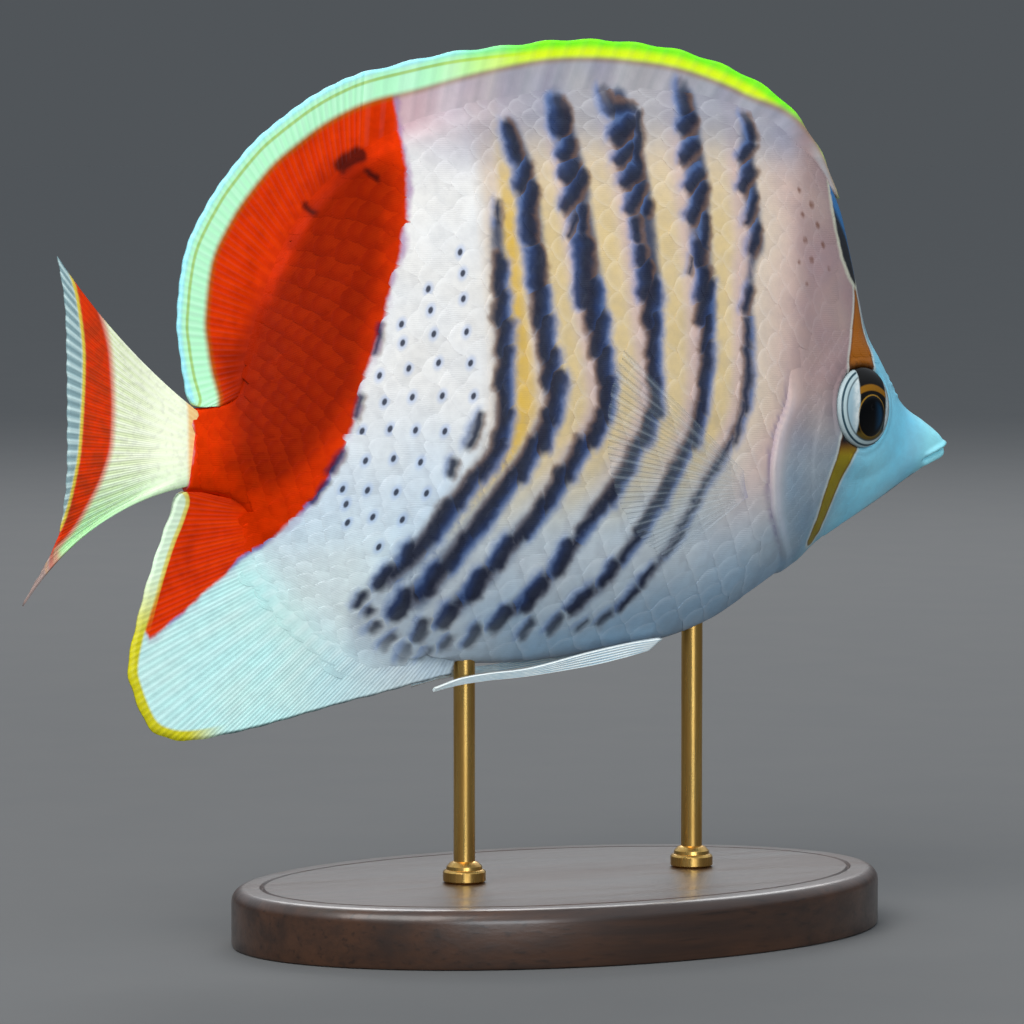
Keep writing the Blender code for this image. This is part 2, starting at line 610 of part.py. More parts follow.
def main():
    for obj in list(bpy.data.objects):
        bpy.data.objects.remove(obj)
    collection = bpy.data.collections.new("crown_butterflyfish")
    cutters = bpy.data.collections.new("cutters")
    for made in (collection, cutters):
        bpy.context.scene.collection.children.link(made)
    cutters.hide_render = True
    keepout = keepout_body(cutters)
    fish_body(collection, cutters)
    dorsal_and_anal(collection, keepout)
    caudal(collection, keepout)
    pectorals(collection, keepout)
    pelvics(collection, keepout)
    stand(collection, keepout)
    paint(collection)


main()
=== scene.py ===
"""The looks of the crown butterflyfish: skin, scales, rayed fins, eyes and stand, with its light and camera.

Outlines are side views, pairs (x, z) in millimetres, with the head towards +X. MM turns them into metres.
Every marking is a field over the side view: a distance in millimetres, positive inside the marking.
"""

import math
from functools import cache

import bpy
import numpy as np
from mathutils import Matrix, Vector

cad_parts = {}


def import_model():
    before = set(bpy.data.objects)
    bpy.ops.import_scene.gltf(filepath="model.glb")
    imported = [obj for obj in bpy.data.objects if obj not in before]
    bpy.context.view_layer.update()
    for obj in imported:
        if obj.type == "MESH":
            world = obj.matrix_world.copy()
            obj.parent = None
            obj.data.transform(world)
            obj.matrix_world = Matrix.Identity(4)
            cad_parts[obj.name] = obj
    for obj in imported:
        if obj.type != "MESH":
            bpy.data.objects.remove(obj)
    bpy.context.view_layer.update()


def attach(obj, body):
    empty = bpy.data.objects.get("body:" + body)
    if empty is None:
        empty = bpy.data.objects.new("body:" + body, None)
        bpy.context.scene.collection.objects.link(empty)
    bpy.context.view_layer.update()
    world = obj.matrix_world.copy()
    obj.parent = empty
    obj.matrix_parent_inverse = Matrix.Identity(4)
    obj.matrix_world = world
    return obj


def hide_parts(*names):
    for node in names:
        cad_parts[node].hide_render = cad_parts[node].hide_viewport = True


MM = 0.001
rng = np.random.default_rng(11)
SIDES = {"right": -1, "left": 1}    # the sign of Y on each side of the fish
OFF = -9.0                          # what a field says far from its marking
SLOPE_STEP = 0.3                    # distance over which a slope is measured

# Camera
VIEW_AZIMUTH, VIEW_ELEVATION, VIEW_DISTANCE = -28.0, 4.0, 700.0
VIEW_CENTRE = (-6.5, 0.0, 51.5)
VIEW_LENS, VIEW_SENSOR = 204.26, 36.0

# Lamps: name, azimuth, elevation, distance and width in metres, power, colour
LAMPS = [
    ("key", -55.0, 44.0, 0.9, 0.6, 6.7, (1.0, 0.98, 0.95)),
    ("front", -14.0, 5.0, 1.2, 0.5, 6.1, (0.84, 0.93, 1.0)),
    ("rim", 150.0, 38.0, 0.9, 0.5, 4.0, (1.0, 1.0, 1.0)),
]
LAMP_AIM = 0.06                     # the level that the lamps shine at, in metres
SKY_COLOUR = (0.82, 0.91, 1.0)
SKY_LOW, SKY_HIGH = 0.10, 0.80      # brightness of the sky at the horizon and overhead
SKY_CLIMB_START, SKY_CLIMB_END = 0.06, 0.55
FLOOR_RADIUS = 9000.0

# The body without its fins, tail end first: back, belly, level of the greatest width, half width there
BACK = [
    (-50.0, 65.2), (-46.0, 65.6), (-43.5, 66.6), (-42.0, 70.0), (-40.0, 76.0), (-37.0, 82.5), (-32.0, 89.0),
    (-26.0, 93.6), (-18.0, 97.0), (-8.0, 99.2), (2.0, 100.2), (12.0, 100.2), (22.0, 99.2), (29.0, 97.6),
    (33.2, 95.9), (36.4, 92.9), (38.9, 88.5), (40.5, 82.3), (42.0, 75.5), (44.4, 69.4), (46.8, 65.5),
    (49.1, 63.0), (51.7, 61.3), (53.6, 59.8), (54.6, 58.4),
]
BELLY = [
    (-50.0, 55.1), (-46.0, 54.6), (-43.5, 53.5), (-41.0, 51.0), (-37.0, 46.5), (-32.0, 42.2), (-26.0, 38.2),
    (-20.0, 35.2), (-14.0, 33.4), (-6.0, 33.1), (1.4, 33.6), (8.0, 34.3), (14.5, 35.2), (20.0, 36.9),
    (26.0, 40.1), (31.5, 43.4), (36.0, 46.3), (41.0, 48.9), (46.0, 51.7), (49.3, 53.7), (52.0, 55.2),
    (53.7, 56.2), (54.6, 57.3),
]
WIDEST_LEVEL = [
    (-50.0, 60.2), (-30.0, 60.0), (0.0, 58.0), (20.0, 57.0), (32.0, 59.0), (39.0, 61.5), (46.0, 59.5),
    (54.6, 57.8),
]
HALF_WIDTH = [
    (-50.0, 1.8), (-46.0, 2.1), (-42.0, 2.8), (-36.0, 4.0), (-28.0, 5.5), (-15.0, 7.5), (0.0, 9.0),
    (12.0, 9.7), (22.0, 9.7), (28.0, 9.2), (34.0, 8.0), (39.0, 6.2), (44.0, 4.2), (48.0, 3.0), (51.0, 2.4),
    (53.4, 1.9), (54.6, 1.0),
]
KEEL = 0.8
MELD = 2.2          # body and fin flow into each other where they differ by less than this
SNOUT_START, SNOUT_FULL = 38.0, 50.0
TAIL_END, SNOUT_TIP = -49.3, 54.6
TAIL_LEVEL, TAIL_SLANT = 60.2, 0.13   # the tail's middle, and how far its end leans
MIDDLE = 60.0       # the level that parts back from belly
FINER_FROM = 22.0   # the skin's points lie closer together ahead of this place
COAT = 0.22         # how far the skin lies inside the solids, to leave room for the scales
STEEPEST = 1.6      # that depth is measured sideways, by at most this many times the coat

GILL_EDGE = [
    (30.0, 31.5), (40.0, 31.2), (44.0, 29.6), (48.0, 26.6), (52.0, 24.6), (56.0, 24.1), (60.5, 24.9),
    (65.0, 26.9), (70.0, 27.6), (80.0, 28.6), (90.0, 30.6), (99.0, 32.6), (106.0, 33.0),
]
GILL_SWELL, GILL_SWELL_LENGTH = 0.55, 8.0
GILL_SWELL_SPAN = (40.0, 46.0, 62.0, 70.0)
CHEEK_EDGE = [
    (45.5, 36.5), (48.5, 33.2), (52.5, 31.2), (57.0, 30.6), (62.0, 31.4), (66.0, 33.2),
]
CHEEK_STEP = 0.12    # how far the skin steps at the cheek's edge

EYE_AT = (39.1, 6.2, 63.3)
EYE_RADIUS, EYE_DOME, EYE_DEPTH = 5.0, 1.5, 3.2
EYE_TURN_FORWARD, EYE_TURN_UP = 0.37, 0.05
ORBIT_FLAT, ORBIT_FADE = 5.6, 9.5
PUPIL_AT, PUPIL_RADIUS = (0.1, -1.1), 2.35   # how far ahead of the eye's centre, and how far above it
MOUTH_CORNER, MOUTH_TIP = (50.9, 56.3), (54.9, 57.9)
NOSTRILS = [(45.3, 66.3), (46.4, 64.9)]

SPINY_DORSAL_EDGE = [
    (39.1, 88.9), (38.3, 91.4), (36.8, 94.4), (34.9, 97.3), (32.7, 99.8), (30.3, 101.8), (26.5, 103.9),
    (22.2, 105.6), (16.5, 107.2), (10.8, 108.0), (5.1, 108.4), (-0.4, 108.3), (-5.4, 107.8), (-14.7, 106.8),
    (-21.8, 105.4), (-26.2, 104.4),
]
SOFT_DORSAL_EDGE = [
    (-26.4, 104.35), (-29.6, 103.2), (-33.3, 101.4), (-37.0, 99.0), (-40.9, 96.0), (-44.9, 91.6),
    (-47.2, 88.3), (-49.3, 84.4), (-50.3, 80.4), (-50.8, 75.0), (-50.5, 72.0), (-50.0, 68.8), (-49.3, 66.1),
    (-48.2, 65.2), (-45.5, 65.2),
]
ANAL_EDGE = [
    (-15.0, 32.2), (-19.4, 31.4), (-24.6, 30.3), (-29.7, 29.4), (-40.2, 27.2), (-45.3, 26.4), (-48.9, 26.0),
    (-52.0, 26.3), (-54.7, 27.9), (-56.8, 32.5), (-57.2, 35.5), (-55.9, 40.9), (-54.6, 45.3), (-53.0, 49.8),
    (-52.0, 52.1), (-51.3, 54.1), (-50.3, 55.3), (-47.8, 55.2),
]
CAUDAL_EDGE = [
    (-65.9, 83.0), (-65.0, 77.5), (-64.8, 70.0), (-64.8, 62.0), (-64.9, 55.0), (-65.6, 49.5), (-69.2, 42.4),
]
CAUDAL_ROOT = [(-48.7, 65.1), (-49.2, 62.0), (-49.7, 58.5), (-50.1, 55.5)]
DORSAL_SPINES, DORSAL_RAYS, ANAL_RAYS, CAUDAL_RAYS = 13, 22, 21, 17
PECTORAL_RAYS = 14
ROOT_SINK = 1.6     # how far the roots of the dorsal and anal fins reach into the body
UNFORKED = 2.0      # as the share of its length where a ray forks: never
FIN_LINES, PECTORAL_BRANCHES = 90, 39   # fine lines across the width of a fin
PECTORAL_ROOT, PECTORAL_ROOT_SPAN = (20.8, 54.0), 2.6
PECTORAL_ANGLES, PECTORAL_LENGTHS, PECTORAL_FLARE = (142.0, 208.0), (27.5, 14.5), 17.0
PELVIC_TOP = [
    (12.4, 35.7), (8.0, 35.3), (2.0, 34.4), (-6.0, 32.9), (-11.5, 32.5), (-15.4, 32.0), (-18.6, 31.0),
]
PELVIC_BOTTOM = [
    (10.8, 34.4), (7.0, 33.6), (2.0, 32.8), (-6.0, 32.0), (-11.5, 31.7), (-15.4, 31.3), (-18.7, 30.7),
]
PELVIC_OUT = 3.0
BASE_SIZE, BASE_EDGE = (84.0, 56.0, 7.0), 1.6
RODS = [("stand_rod_front", 18.5), ("stand_rod_rear", -13.0)]
ROD_RADIUS, ROD_SINK = 1.3, 1.6
# The ferrule at each rod's foot, as (radius, level above the base)
FERRULE = [
    (2.35, 0.0), (2.6, 0.25), (2.6, 1.3), (2.45, 1.5), (2.2, 1.6), (2.15, 2.0), (1.7, 2.45), (1.3, 2.6),
]

# Dark stripes, each a line down the flank as (z, x, half width), front stripe last
STRIPES = [
    [(88, -10.6, 0.2), (84, -11.1, 0.7), (76, -11.1, 1.0), (68, -11.3, 1.1), (62, -11.7, 1.1),
     (59, -12.9, 1.1), (56, -15.6, 1.1), (52, -18.6, 1.3), (48, -21.7, 1.4), (44, -25.6, 1.3),
     (42.4, -27.2, 0.9)],
    [(98, -7.6, 0.8), (92, -6.6, 1.35), (84, -6.5, 1.25), (76, -6.2, 1.15), (68, -5.4, 1.15),
     (65, -5.0, 1.2), (62, -6.3, 1.25), (59, -8.3, 1.25), (56, -10.7, 1.3), (52, -13.7, 1.35),
     (48, -16.6, 1.45), (44, -19.8, 1.6), (41.2, -22.4, 1.9)],
    [(100.8, -1.0, 1.3), (92, 0.0, 1.5), (84, 0.3, 1.5), (76, 0.8, 1.45), (68, 1.8, 1.1), (65, 1.8, 1.05),
     (62, 0.5, 1.1), (59, -2.0, 1.15), (56, -4.1, 1.15), (52, -6.9, 1.2), (48, -10.4, 1.2),
     (44, -13.6, 1.3), (40, -17.2, 1.3)],
    [(101.3, 7.5, 1.2), (92, 8.3, 1.7), (84, 8.5, 1.45), (76, 8.5, 1.1), (68, 8.3, 1.0), (65, 8.2, 0.95),
     (62, 7.2, 0.95), (59, 5.3, 0.95), (56, 3.6, 1.0), (52, 0.5, 1.0), (48, -2.1, 1.0), (44, -5.1, 1.1),
     (42.1, -6.7, 1.2), (39, -10.4, 1.1)],
    [(101.5, 17.0, 1.1), (92, 16.9, 1.45), (84, 16.2, 1.2), (76, 16.1, 1.0), (68, 15.3, 0.9),
     (62, 13.9, 0.9), (59, 12.2, 0.9), (56, 10.5, 0.9), (52, 8.0, 0.9), (48, 5.8, 0.85), (44, 3.1, 0.8),
     (40, -0.6, 0.8), (38, -2.6, 0.7)],
    [(97.4, 25.4, 0.8), (92, 24.3, 0.95), (84, 24.2, 0.8), (81, 23.0, 0.35), (76, 22.0, 0.35),
     (72, 21.6, 0.7), (65, 21.0, 0.65), (62, 19.7, 0.6), (59, 17.9, 0.6), (56, 15.7, 0.6), (52, 13.3, 0.6),
     (48, 11.2, 0.6), (44, 8.4, 0.5), (41, 6.2, 0.5), (38.5, 3.8, 0.4)],
]
# Between these levels each stripe is edged by slanting blotches, one to a scale: lowest, highest
STRIPE_MIDDLES = [(49.5, 82.5), (47.5, 78.0), (50.0, 76.2), (49.0, 76.6), (46.8, 76.3), (45.8, 74.4)]
STRIPE_FEET = [45.0, 42.5, 41.0, 40.5, 40.0, 39.5]   # how far down the line runs on from blotch to blotch
# Those blotches by level: slant, half length, share of the half width
BLOTCH_SHAPES = [
    (44.0, 0.62, 1.3, 0.68), (50.0, 0.66, 1.7, 0.68), (57.0, 0.50, 1.8, 0.74), (64.0, 0.15, 2.0, 0.80),
    (82.0, 0.25, 1.9, 0.84),
]
LINE_SHARE = 0.70   # of the half width, for the line that joins them
STRIPE_STRENGTHS = [1, 1, 1, 1, 1, 0.65]
# Blotches that stand free at both ends of the stripes: both ends of the axis, half width
FREE_BLOTCHES = [
    (-10.3, 89.0, -10.8, 86.4, 0.34), (-7.9, 97.7, -7.3, 94.5, 1.02), (-6.1, 92.9, -7.1, 90.9, 0.95),
    (-5.6, 90.3, -6.5, 88.0, 1.02), (-6.8, 86.9, -6.8, 84.7, 1.02), (-6.1, 82.8, -6.3, 79.3, 1.16),
    (-0.7, 100.1, -0.9, 98.0, 1.43), (0.1, 95.8, -0.8, 94.3, 1.02), (0.1, 93.0, -0.8, 91.9, 1.02),
    (1.2, 91.9, -1.4, 88.4, 0.95), (0.7, 87.8, 0.4, 85.4, 0.61), (-0.3, 87.0, -1.5, 84.7, 0.41),
    (0.3, 83.7, -0.5, 77.2, 1.23), (5.8, 102.1, 6.3, 100.0, 0.88), (7.0, 100.1, 9.1, 100.1, 0.88),
    (8.8, 98.3, 6.5, 96.6, 1.09), (9.9, 99.4, 9.0, 93.0, 0.62), (8.1, 95.1, 6.6, 93.7, 0.95),
    (8.6, 92.4, 7.0, 91.1, 0.95), (8.7, 90.4, 7.0, 88.0, 0.75), (9.7, 88.6, 9.2, 87.7, 0.75),
    (7.6, 86.3, 7.6, 84.7, 0.70), (7.8, 83.2, 7.5, 81.6, 0.75), (8.3, 80.8, 7.6, 77.8, 1.02),
    (16.7, 102.9, 16.7, 99.8, 0.88), (17.2, 98.6, 16.3, 97.7, 1.02), (17.2, 95.4, 15.6, 94.0, 0.88),
    (17.3, 91.9, 15.7, 90.5, 0.88), (17.7, 90.2, 15.3, 86.7, 0.82), (17.5, 86.6, 16.6, 83.2, 0.54),
    (16.0, 83.3, 15.9, 81.3, 0.82), (15.1, 81.9, 14.0, 80.1, 0.34), (16.3, 80.1, 15.5, 77.3, 0.88),
    (25.5, 98.9, 25.8, 96.6, 0.68), (25.6, 95.7, 23.9, 93.9, 0.68), (25.0, 92.5, 23.3, 90.4, 0.75),
    (24.9, 89.2, 23.1, 86.2, 0.54), (24.7, 85.6, 23.1, 82.5, 0.54), (22.4, 78.1, 21.5, 75.8, 0.48),
    (-22.9, 48.1, -23.4, 46.7, 0.92), (-25.3, 45.4, -25.9, 43.6, 0.85), (-27.9, 42.5, -28.1, 41.5, 0.61),
    (-19.4, 45.4, -20.2, 43.0, 1.04), (-22.9, 42.0, -23.4, 40.3, 1.29), (-26.6, 40.6, -26.8, 40.3, 0.54),
    (-25.8, 38.6, -26.0, 38.0, 0.54), (-23.4, 37.2, -24.1, 36.2, 0.68), (-11.0, 48.4, -11.8, 46.1, 1.04),
    (-13.8, 44.3, -14.5, 42.2, 1.16), (-17.1, 40.4, -17.5, 39.1, 1.16), (-19.9, 39.0, -20.1, 36.8, 0.79),
    (-21.4, 35.8, -21.6, 34.9, 0.61), (-3.0, 47.7, -3.8, 45.1, 0.98), (-6.0, 43.4, -7.3, 40.8, 1.04),
    (-9.9, 39.7, -10.8, 38.2, 0.98), (-13.2, 37.8, -13.8, 36.3, 0.74), (-16.5, 36.6, -16.9, 35.7, 0.61),
    (-18.7, 35.5, -19.1, 34.4, 0.41), (3.5, 45.2, 2.4, 43.1, 0.74), (0.6, 42.2, -1.3, 39.7, 0.79),
    (-2.7, 38.6, -3.4, 37.4, 0.68), (-6.3, 38.4, -7.1, 36.7, 0.61), (8.7, 44.6, 7.7, 43.0, 0.54),
    (6.8, 42.1, 5.7, 39.8, 0.54), (4.2, 39.0, 3.4, 38.0, 0.48), (1.2, 38.2, 0.4, 37.4, 0.34),
]
# Blotches between the first stripe and the red patch, on its edge and in it
STRAY_BLOTCHES = [
    (-14.5, 63.7, -16.1, 60.3, 0.60), (-17.9, 58.1, -18.3, 57.1, 0.60), (-26.5, 74.5, -27.2, 71.4, 0.26),
    (-29.2, 66.1, -29.9, 64.0, 0.30), (-31.7, 59.9, -32.9, 57.5, 0.38), (-33.6, 56.3, -34.9, 54.0, 0.24),
    (-29.5, 93.4, -27.4, 94.6, 0.85), (-26.4, 92.6, -25.5, 91.8, 0.30), (-34.2, 88.6, -33.6, 88.0, 0.36),
]
BLOTCHES_KNOWN = 4   # how many of the blotches near it a scale draws
DOTS = [
    (-15.9, 83.0), (-15.8, 80.5), (-20.3, 78.7), (-16.0, 77.5), (-20.2, 76.2), (-23.9, 74.6), (-20.0, 73.4),
    (-15.9, 73.6), (-23.9, 72.4), (-19.6, 70.0), (-15.6, 69.9), (-23.3, 69.4), (-26.9, 68.6), (-26.4, 65.5),
    (-23.0, 66.0), (-19.3, 66.1), (-15.4, 66.0), (-29.2, 62.1), (-25.8, 62.3), (-22.7, 62.1), (-19.1, 61.9),
    (-28.8, 58.6), (-25.4, 58.8), (-22.1, 58.3), (-31.5, 55.3), (-28.5, 55.1), (-25.0, 54.8), (-21.3, 54.6),
    (-31.0, 53.5), (-27.7, 51.9), (-24.1, 51.5), (-30.7, 51.3), (-26.7, 48.3),
]
# The part of the red patch that is mottled dark
UMBER_PATCH = [
    (-29.8, 94.4), (-33.7, 90.4), (-35.8, 86.7), (-36.9, 82.7), (-39.5, 79.2), (-42.6, 75.5), (-45.2, 71.8),
    (-44.5, 67.5), (-45.0, 62.6), (-44.5, 58.5), (-42.4, 55.2), (-39.6, 54.8), (-36.5, 57.4), (-32.5, 62.3),
    (-30.1, 66.4), (-27.9, 71.6), (-26.1, 76.3), (-24.4, 82.2), (-23.3, 86.8), (-22.9, 91.6), (-24.2, 93.7),
    (-27.1, 95.3),
]
RED_PATCH = [
    (-22.9, 103.0), (-21.9, 97.8), (-21.6, 92.7), (-22.0, 87.4), (-23.8, 82.0), (-25.9, 75.9),
    (-27.2, 72.0), (-29.0, 68.1), (-30.1, 64.0), (-31.6, 60.0), (-33.9, 55.3), (-36.8, 52.1), (-40.1, 48.7),
    (-42.8, 47.3), (-44.8, 45.3), (-47.5, 43.4), (-50.3, 41.1), (-54.4, 38.2), (-56.2, 40.5), (-55.4, 42.9),
    (-53.8, 46.9), (-52.2, 52.0), (-50.2, 55.0), (-49.4, 60.0), (-49.2, 65.0), (-49.0, 66.6), (-49.0, 71.6),
    (-48.2, 76.7), (-47.2, 80.8), (-45.3, 85.6), (-43.0, 90.6), (-39.4, 94.7), (-35.8, 97.5), (-32.2, 99.8),
    (-28.6, 101.9), (-24.0, 104.0),
]
EYE_BAND = [
    (79.5, 39.7, 0.1), (76.4, 39.6, 0.5), (71.5, 39.2, 1.5), (68.4, 39.1, 2.3), (63.3, 38.4, 2.4),
    (58.5, 36.3, 1.5), (55.8, 35.2, 1.2), (52.1, 34.0, 1.05), (47.0, 33.3, 0.8),
]
CROWN_MARK = [(91.0, 37.9, 0.5), (88.0, 38.4, 1.2), (84.5, 38.9, 1.5), (81.0, 39.3, 1.2), (78.6, 39.9, 0.5)]
FRECKLES = [
    (31.8, 90.0, 0.35), (33.4, 88.2, 0.45), (31.7, 87.0, 0.35), (33.9, 85.7, 0.4), (31.6, 83.9, 0.4),
    (34.4, 83.3, 0.4), (32.2, 81.5, 0.4), (30.2, 81.3, 0.3), (34.9, 80.4, 0.3), (31.0, 78.6, 0.25),
]
TAIL_CRESCENT_REAR = [
    (85, -65.6), (77.6, -63.2), (71.2, -62.5), (61.6, -63.0), (56.9, -63.7), (52.5, -64.6), (49.0, -66.2),
]
TAIL_CRESCENT_FRONT = [
    (85, -65.6), (76.4, -60.8), (71.2, -59.5), (65.6, -59.2), (61.5, -59.4), (57.6, -60.5), (54.4, -62.0),
    (51.3, -63.7), (49.0, -65.6),
]
LATERAL_LINE = [
    (27.5, 73.0), (21.0, 83.0), (10.0, 90.5), (-4.0, 93.0), (-16.0, 90.5), (-26.0, 84.0), (-33.5, 76.0),
    (-40.0, 68.5), (-43.0, 64.5),
]

# Columns of scales, each numbered and placed where it crosses the middle
COLUMNS = [
    (-16, -49.6), (-15, -48.6), (-14, -47.3), (-13, -45.9), (-12, -44.3), (-11, -42.6), (-10, -40.8),
    (-9, -38.8), (-8, -36.7), (-7, -34.4), (-6, -32.0), (-5, -29.3), (-4, -26.2), (-3, -22.9), (-2, -19.3),
    (-1, -15.6), (0, -11.4), (2, -5.0), (4, 1.7), (6, 8.3), (8, 14.8), (10, 20.9), (12, 26.6), (14, 31.6),
    (16, 36.0), (18, 39.6),
]
HEAD_SCALE = 1.6      # from one scale of the head to the next
# One scale's cross lines, root first: where each lies, and how far it spreads
SCALE_LENGTHS = [-0.80, -0.42, -0.16, 0.05, 0.23, 0.38, 0.50, 0.59, 0.65]
SCALE_SPREADS = [0.70, 0.98, 1.05, 1.05, 0.99, 0.88, 0.70, 0.46, 0.18]
SCALE_OVERLAP = 1.12  # width of a scale, as a share of the way to the next one up its column
SCALE_ROOT_LIFT, SCALE_TIP_LIFT, SCALE_FLAT_LIFT, SCALE_THICKNESS = -0.18, -0.10, -0.165, 0.09
PATCH_SIZE = 0.0015   # of one scale on the unrolled skin, as a share of the whole map

# Colours as seen, each red, green, blue from 0 to 1: the ground of body and head
WHITE = (0.92, 0.91, 0.90)
COLD_WHITE = (0.80, 0.91, 1.0)
REAR_WHITE = (0.95, 1.0, 1.0)
BEIGE = (0.85, 0.77, 0.69)
LOWER_FLANK = (0.76, 0.81, 0.85)
GOLD = (0.86, 0.69, 0.26)
OCHRE = (0.85, 0.72, 0.38)
PINK = (0.78, 0.65, 0.63)
MAUVE = (0.55, 0.57, 0.66)
SLATE = (0.53, 0.67, 0.78)
HEAD_MAUVE = (0.62, 0.51, 0.51)
CHEEK_GREY = (0.55, 0.62, 0.68)
CHIN_BLUE = (0.50, 0.62, 0.71)
SNOUT_BLUE = (0.49, 0.83, 0.94)
CHEEK_BLUE = (0.66, 0.94, 1.0)
LIP_BLUE = (0.62, 0.94, 0.97)
GILL_SHADOW = (0.40, 0.34, 0.50)
# painted highlight along the gill cover's free edge
GILL_EDGE_HIGHLIGHT = (0.78, 0.78, 0.84)
BACK_HAZE = (0.78, 0.66, 0.70)
BROW_GREY = (0.72, 0.78, 0.78)
ANAL_PALE = (0.78, 0.97, 0.95)
ANAL_GREY = (0.74, 0.80, 0.84)

# Colours of the markings
CREAM_MOTTLE = (0.95, 0.86, 0.72)
GREY_SPECKS = (0.46, 0.46, 0.50)
# painted highlight on the scales' free rear rims
SCALE_RIM_HIGHLIGHT = (0.97, 0.97, 0.98)
# painted shade at the scales' roots, where the scale ahead lies over them
SCALE_ROOT_SHADOW = (0.34, 0.30, 0.36)
SCALE_VARIETY = (0.96, 0.96, 0.96)
ROSE_HAZE = (0.72, 0.44, 0.50)
STRIPE_WASH = (0.38, 0.43, 0.53)
STRIPE_CORE = (0.20, 0.25, 0.36)
STRIPE_SHADE = (0.15, 0.19, 0.29)
STRIPE_BLUE = (0.36, 0.50, 0.74)
STRIPE_BROWN = (0.52, 0.36, 0.22)
STRIPE_INK = (0.065, 0.09, 0.18)
STRIPE_NAVY = (0.11, 0.19, 0.36)
STRIPE_SPECKS = (0.24, 0.27, 0.34)
DOT_HALO = (0.50, 0.64, 0.88)
RED = (0.88, 0.20, 0.0)
DEEP_RED = (0.50, 0.09, 0.0)
RED_SPECKS = (0.42, 0.05, 0.0)
RED_MOTTLE = (0.46, 0.06, 0.0)
RED_SCALE_MIDDLE = (0.84, 0.26, 0.03)
RED_SCALE_EDGE = (0.36, 0.04, 0.0)
RED_RIM = (0.62, 0.44, 0.62)
HEM_BLUE = (0.34, 0.40, 0.72)
SMUDGE_DARK = (0.10, 0.03, 0.03)
SMUDGE_BLUE = (0.08, 0.09, 0.24)
BAND_BROWN = (0.64, 0.36, 0.02)
BAND_OLIVE = (0.56, 0.49, 0.07)
BAND_DARK_EDGE = (0.36, 0.18, 0.02)
BAND_PALE_EDGE = (0.86, 0.87, 0.82)
INK = (0.03, 0.04, 0.07)
CROWN_NAVY = (0.03, 0.05, 0.09)
CROWN_BLUE = (0.16, 0.42, 0.64)
CROWN_EDGE = (0.82, 0.84, 0.74)
FRECKLE_BROWN = (0.40, 0.22, 0.12)

# Colours of the fins
RAY_SHEEN = (0.97, 0.98, 0.95)
MEMBRANE_LINE = (0.30, 0.42, 0.45)
MINT = (0.74, 1.0, 0.80)
LIME = (0.50, 1.0, 0.10)
YELLOW = (0.88, 1.0, 0.08)
DORSAL_LINE = (0.62, 0.74, 0.24)
DORSAL_HEM = (0.62, 0.92, 0.97)
DORSAL_OCHRE = (0.58, 0.42, 0.10)
ANAL_MARGIN = (0.86, 0.95, 0.82)
ANAL_CORNER = (0.82, 0.78, 0.04)
ANAL_LINE = (0.86, 0.78, 0.24)
ANAL_HEM = (0.10, 0.12, 0.14)
CREAM = (0.96, 0.98, 0.84)
CAUDAL_GREEN = (0.66, 0.93, 0.66)
CAUDAL_STREAK = (0.74, 0.84, 0.40)
CAUDAL_SPECKS = (0.70, 0.70, 0.64)
CAUDAL_AMBER = (0.92, 0.62, 0.12)
CLEAR_GREY = (0.62, 0.76, 0.78)
CLEAR_RAY = (0.74, 0.84, 0.84)
CRESCENT_GOLD = (0.86, 0.76, 0.24)
CRESCENT_ROSE = (0.86, 0.50, 0.42)
BRICK_RED = (0.72, 0.20, 0.05)
TIP_BROWN = (0.66, 0.46, 0.40)
PELVIC_WHITE = (0.86, 0.92, 0.94)
PELVIC_BLUE = (0.70, 0.84, 0.90)
PELVIC_RAY = (0.95, 0.98, 0.97)
PECTORAL_PALE = (0.80, 0.86, 0.90)
PECTORAL_MAUVE = (0.72, 0.66, 0.74)
PECTORAL_RAY = (0.34, 0.40, 0.46)

# Colours of the eyes, the stand and the floor
EYE_SILVER = (0.86, 0.88, 0.87)
EYE_GREY = (0.62, 0.70, 0.72)
EYE_REAR = (0.58, 0.68, 0.72)
EYE_DARK = (0.045, 0.035, 0.03)
EYE_OLIVE = (0.34, 0.27, 0.09)
EYE_ARCH = (0.60, 0.40, 0.06)
# gold ring round the pupil: its own colour, painted brighter towards the top as a glint
PUPIL_RING_GLINT_GOLD = (0.60, 0.44, 0.12)
PUPIL_BLACK = (0.004, 0.006, 0.012)
# painted blue reflection in the front of the pupil
PUPIL_REFLECTION_BLUE = (0.05, 0.24, 0.36)
ORBIT_PALE = (0.66, 0.73, 0.74)
ORBIT_LINE = (0.20, 0.27, 0.30)
ORBIT_GROOVE = (0.16, 0.26, 0.30)
ORBIT_RIM = (0.66, 0.72, 0.73)
WALNUT = (0.27, 0.17, 0.11)
WALNUT_DARK = (0.16, 0.095, 0.06)
WALNUT_PORES = (0.09, 0.05, 0.03)
BRASS = (0.86, 0.70, 0.40)
BRASS_DARK = (0.74, 0.57, 0.30)
FLOOR_GREY = (0.408, 0.408, 0.408)  # as bright under this sky as the sky is at the horizon
FLOOR_MOTTLE = (0.36, 0.37, 0.38)


# Curves and steps

def smooth_through(stations, x):
    """Height of a smooth curve through the stations at x, with no overshoot between them."""
    xs, ys = np.array(stations, float).T
    if xs[0] > xs[-1]:
        xs, ys = xs[::-1], ys[::-1]
    steps = np.diff(xs)
    slopes = np.diff(ys) / steps
    before, after = slopes[:-1], slopes[1:]
    total = np.where(before + after == 0, 1, before + after)
    turn = np.where(before * after > 0, 2 * before * after / total, 0)
    tangents = np.concatenate([slopes[:1], turn, slopes[-1:]])
    x = np.clip(np.asarray(x, float), xs[0], xs[-1])
    i = np.clip(np.searchsorted(xs, x) - 1, 0, len(xs) - 2)
    t = (x - xs[i]) / steps[i]
    return (ys[i] * (1 + 2 * t) * (1 - t) ** 2 + ys[i + 1] * t ** 2 * (3 - 2 * t)
            + steps[i] * (tangents[i] * t * (1 - t) ** 2 - tangents[i + 1] * t ** 2 * (1 - t)))


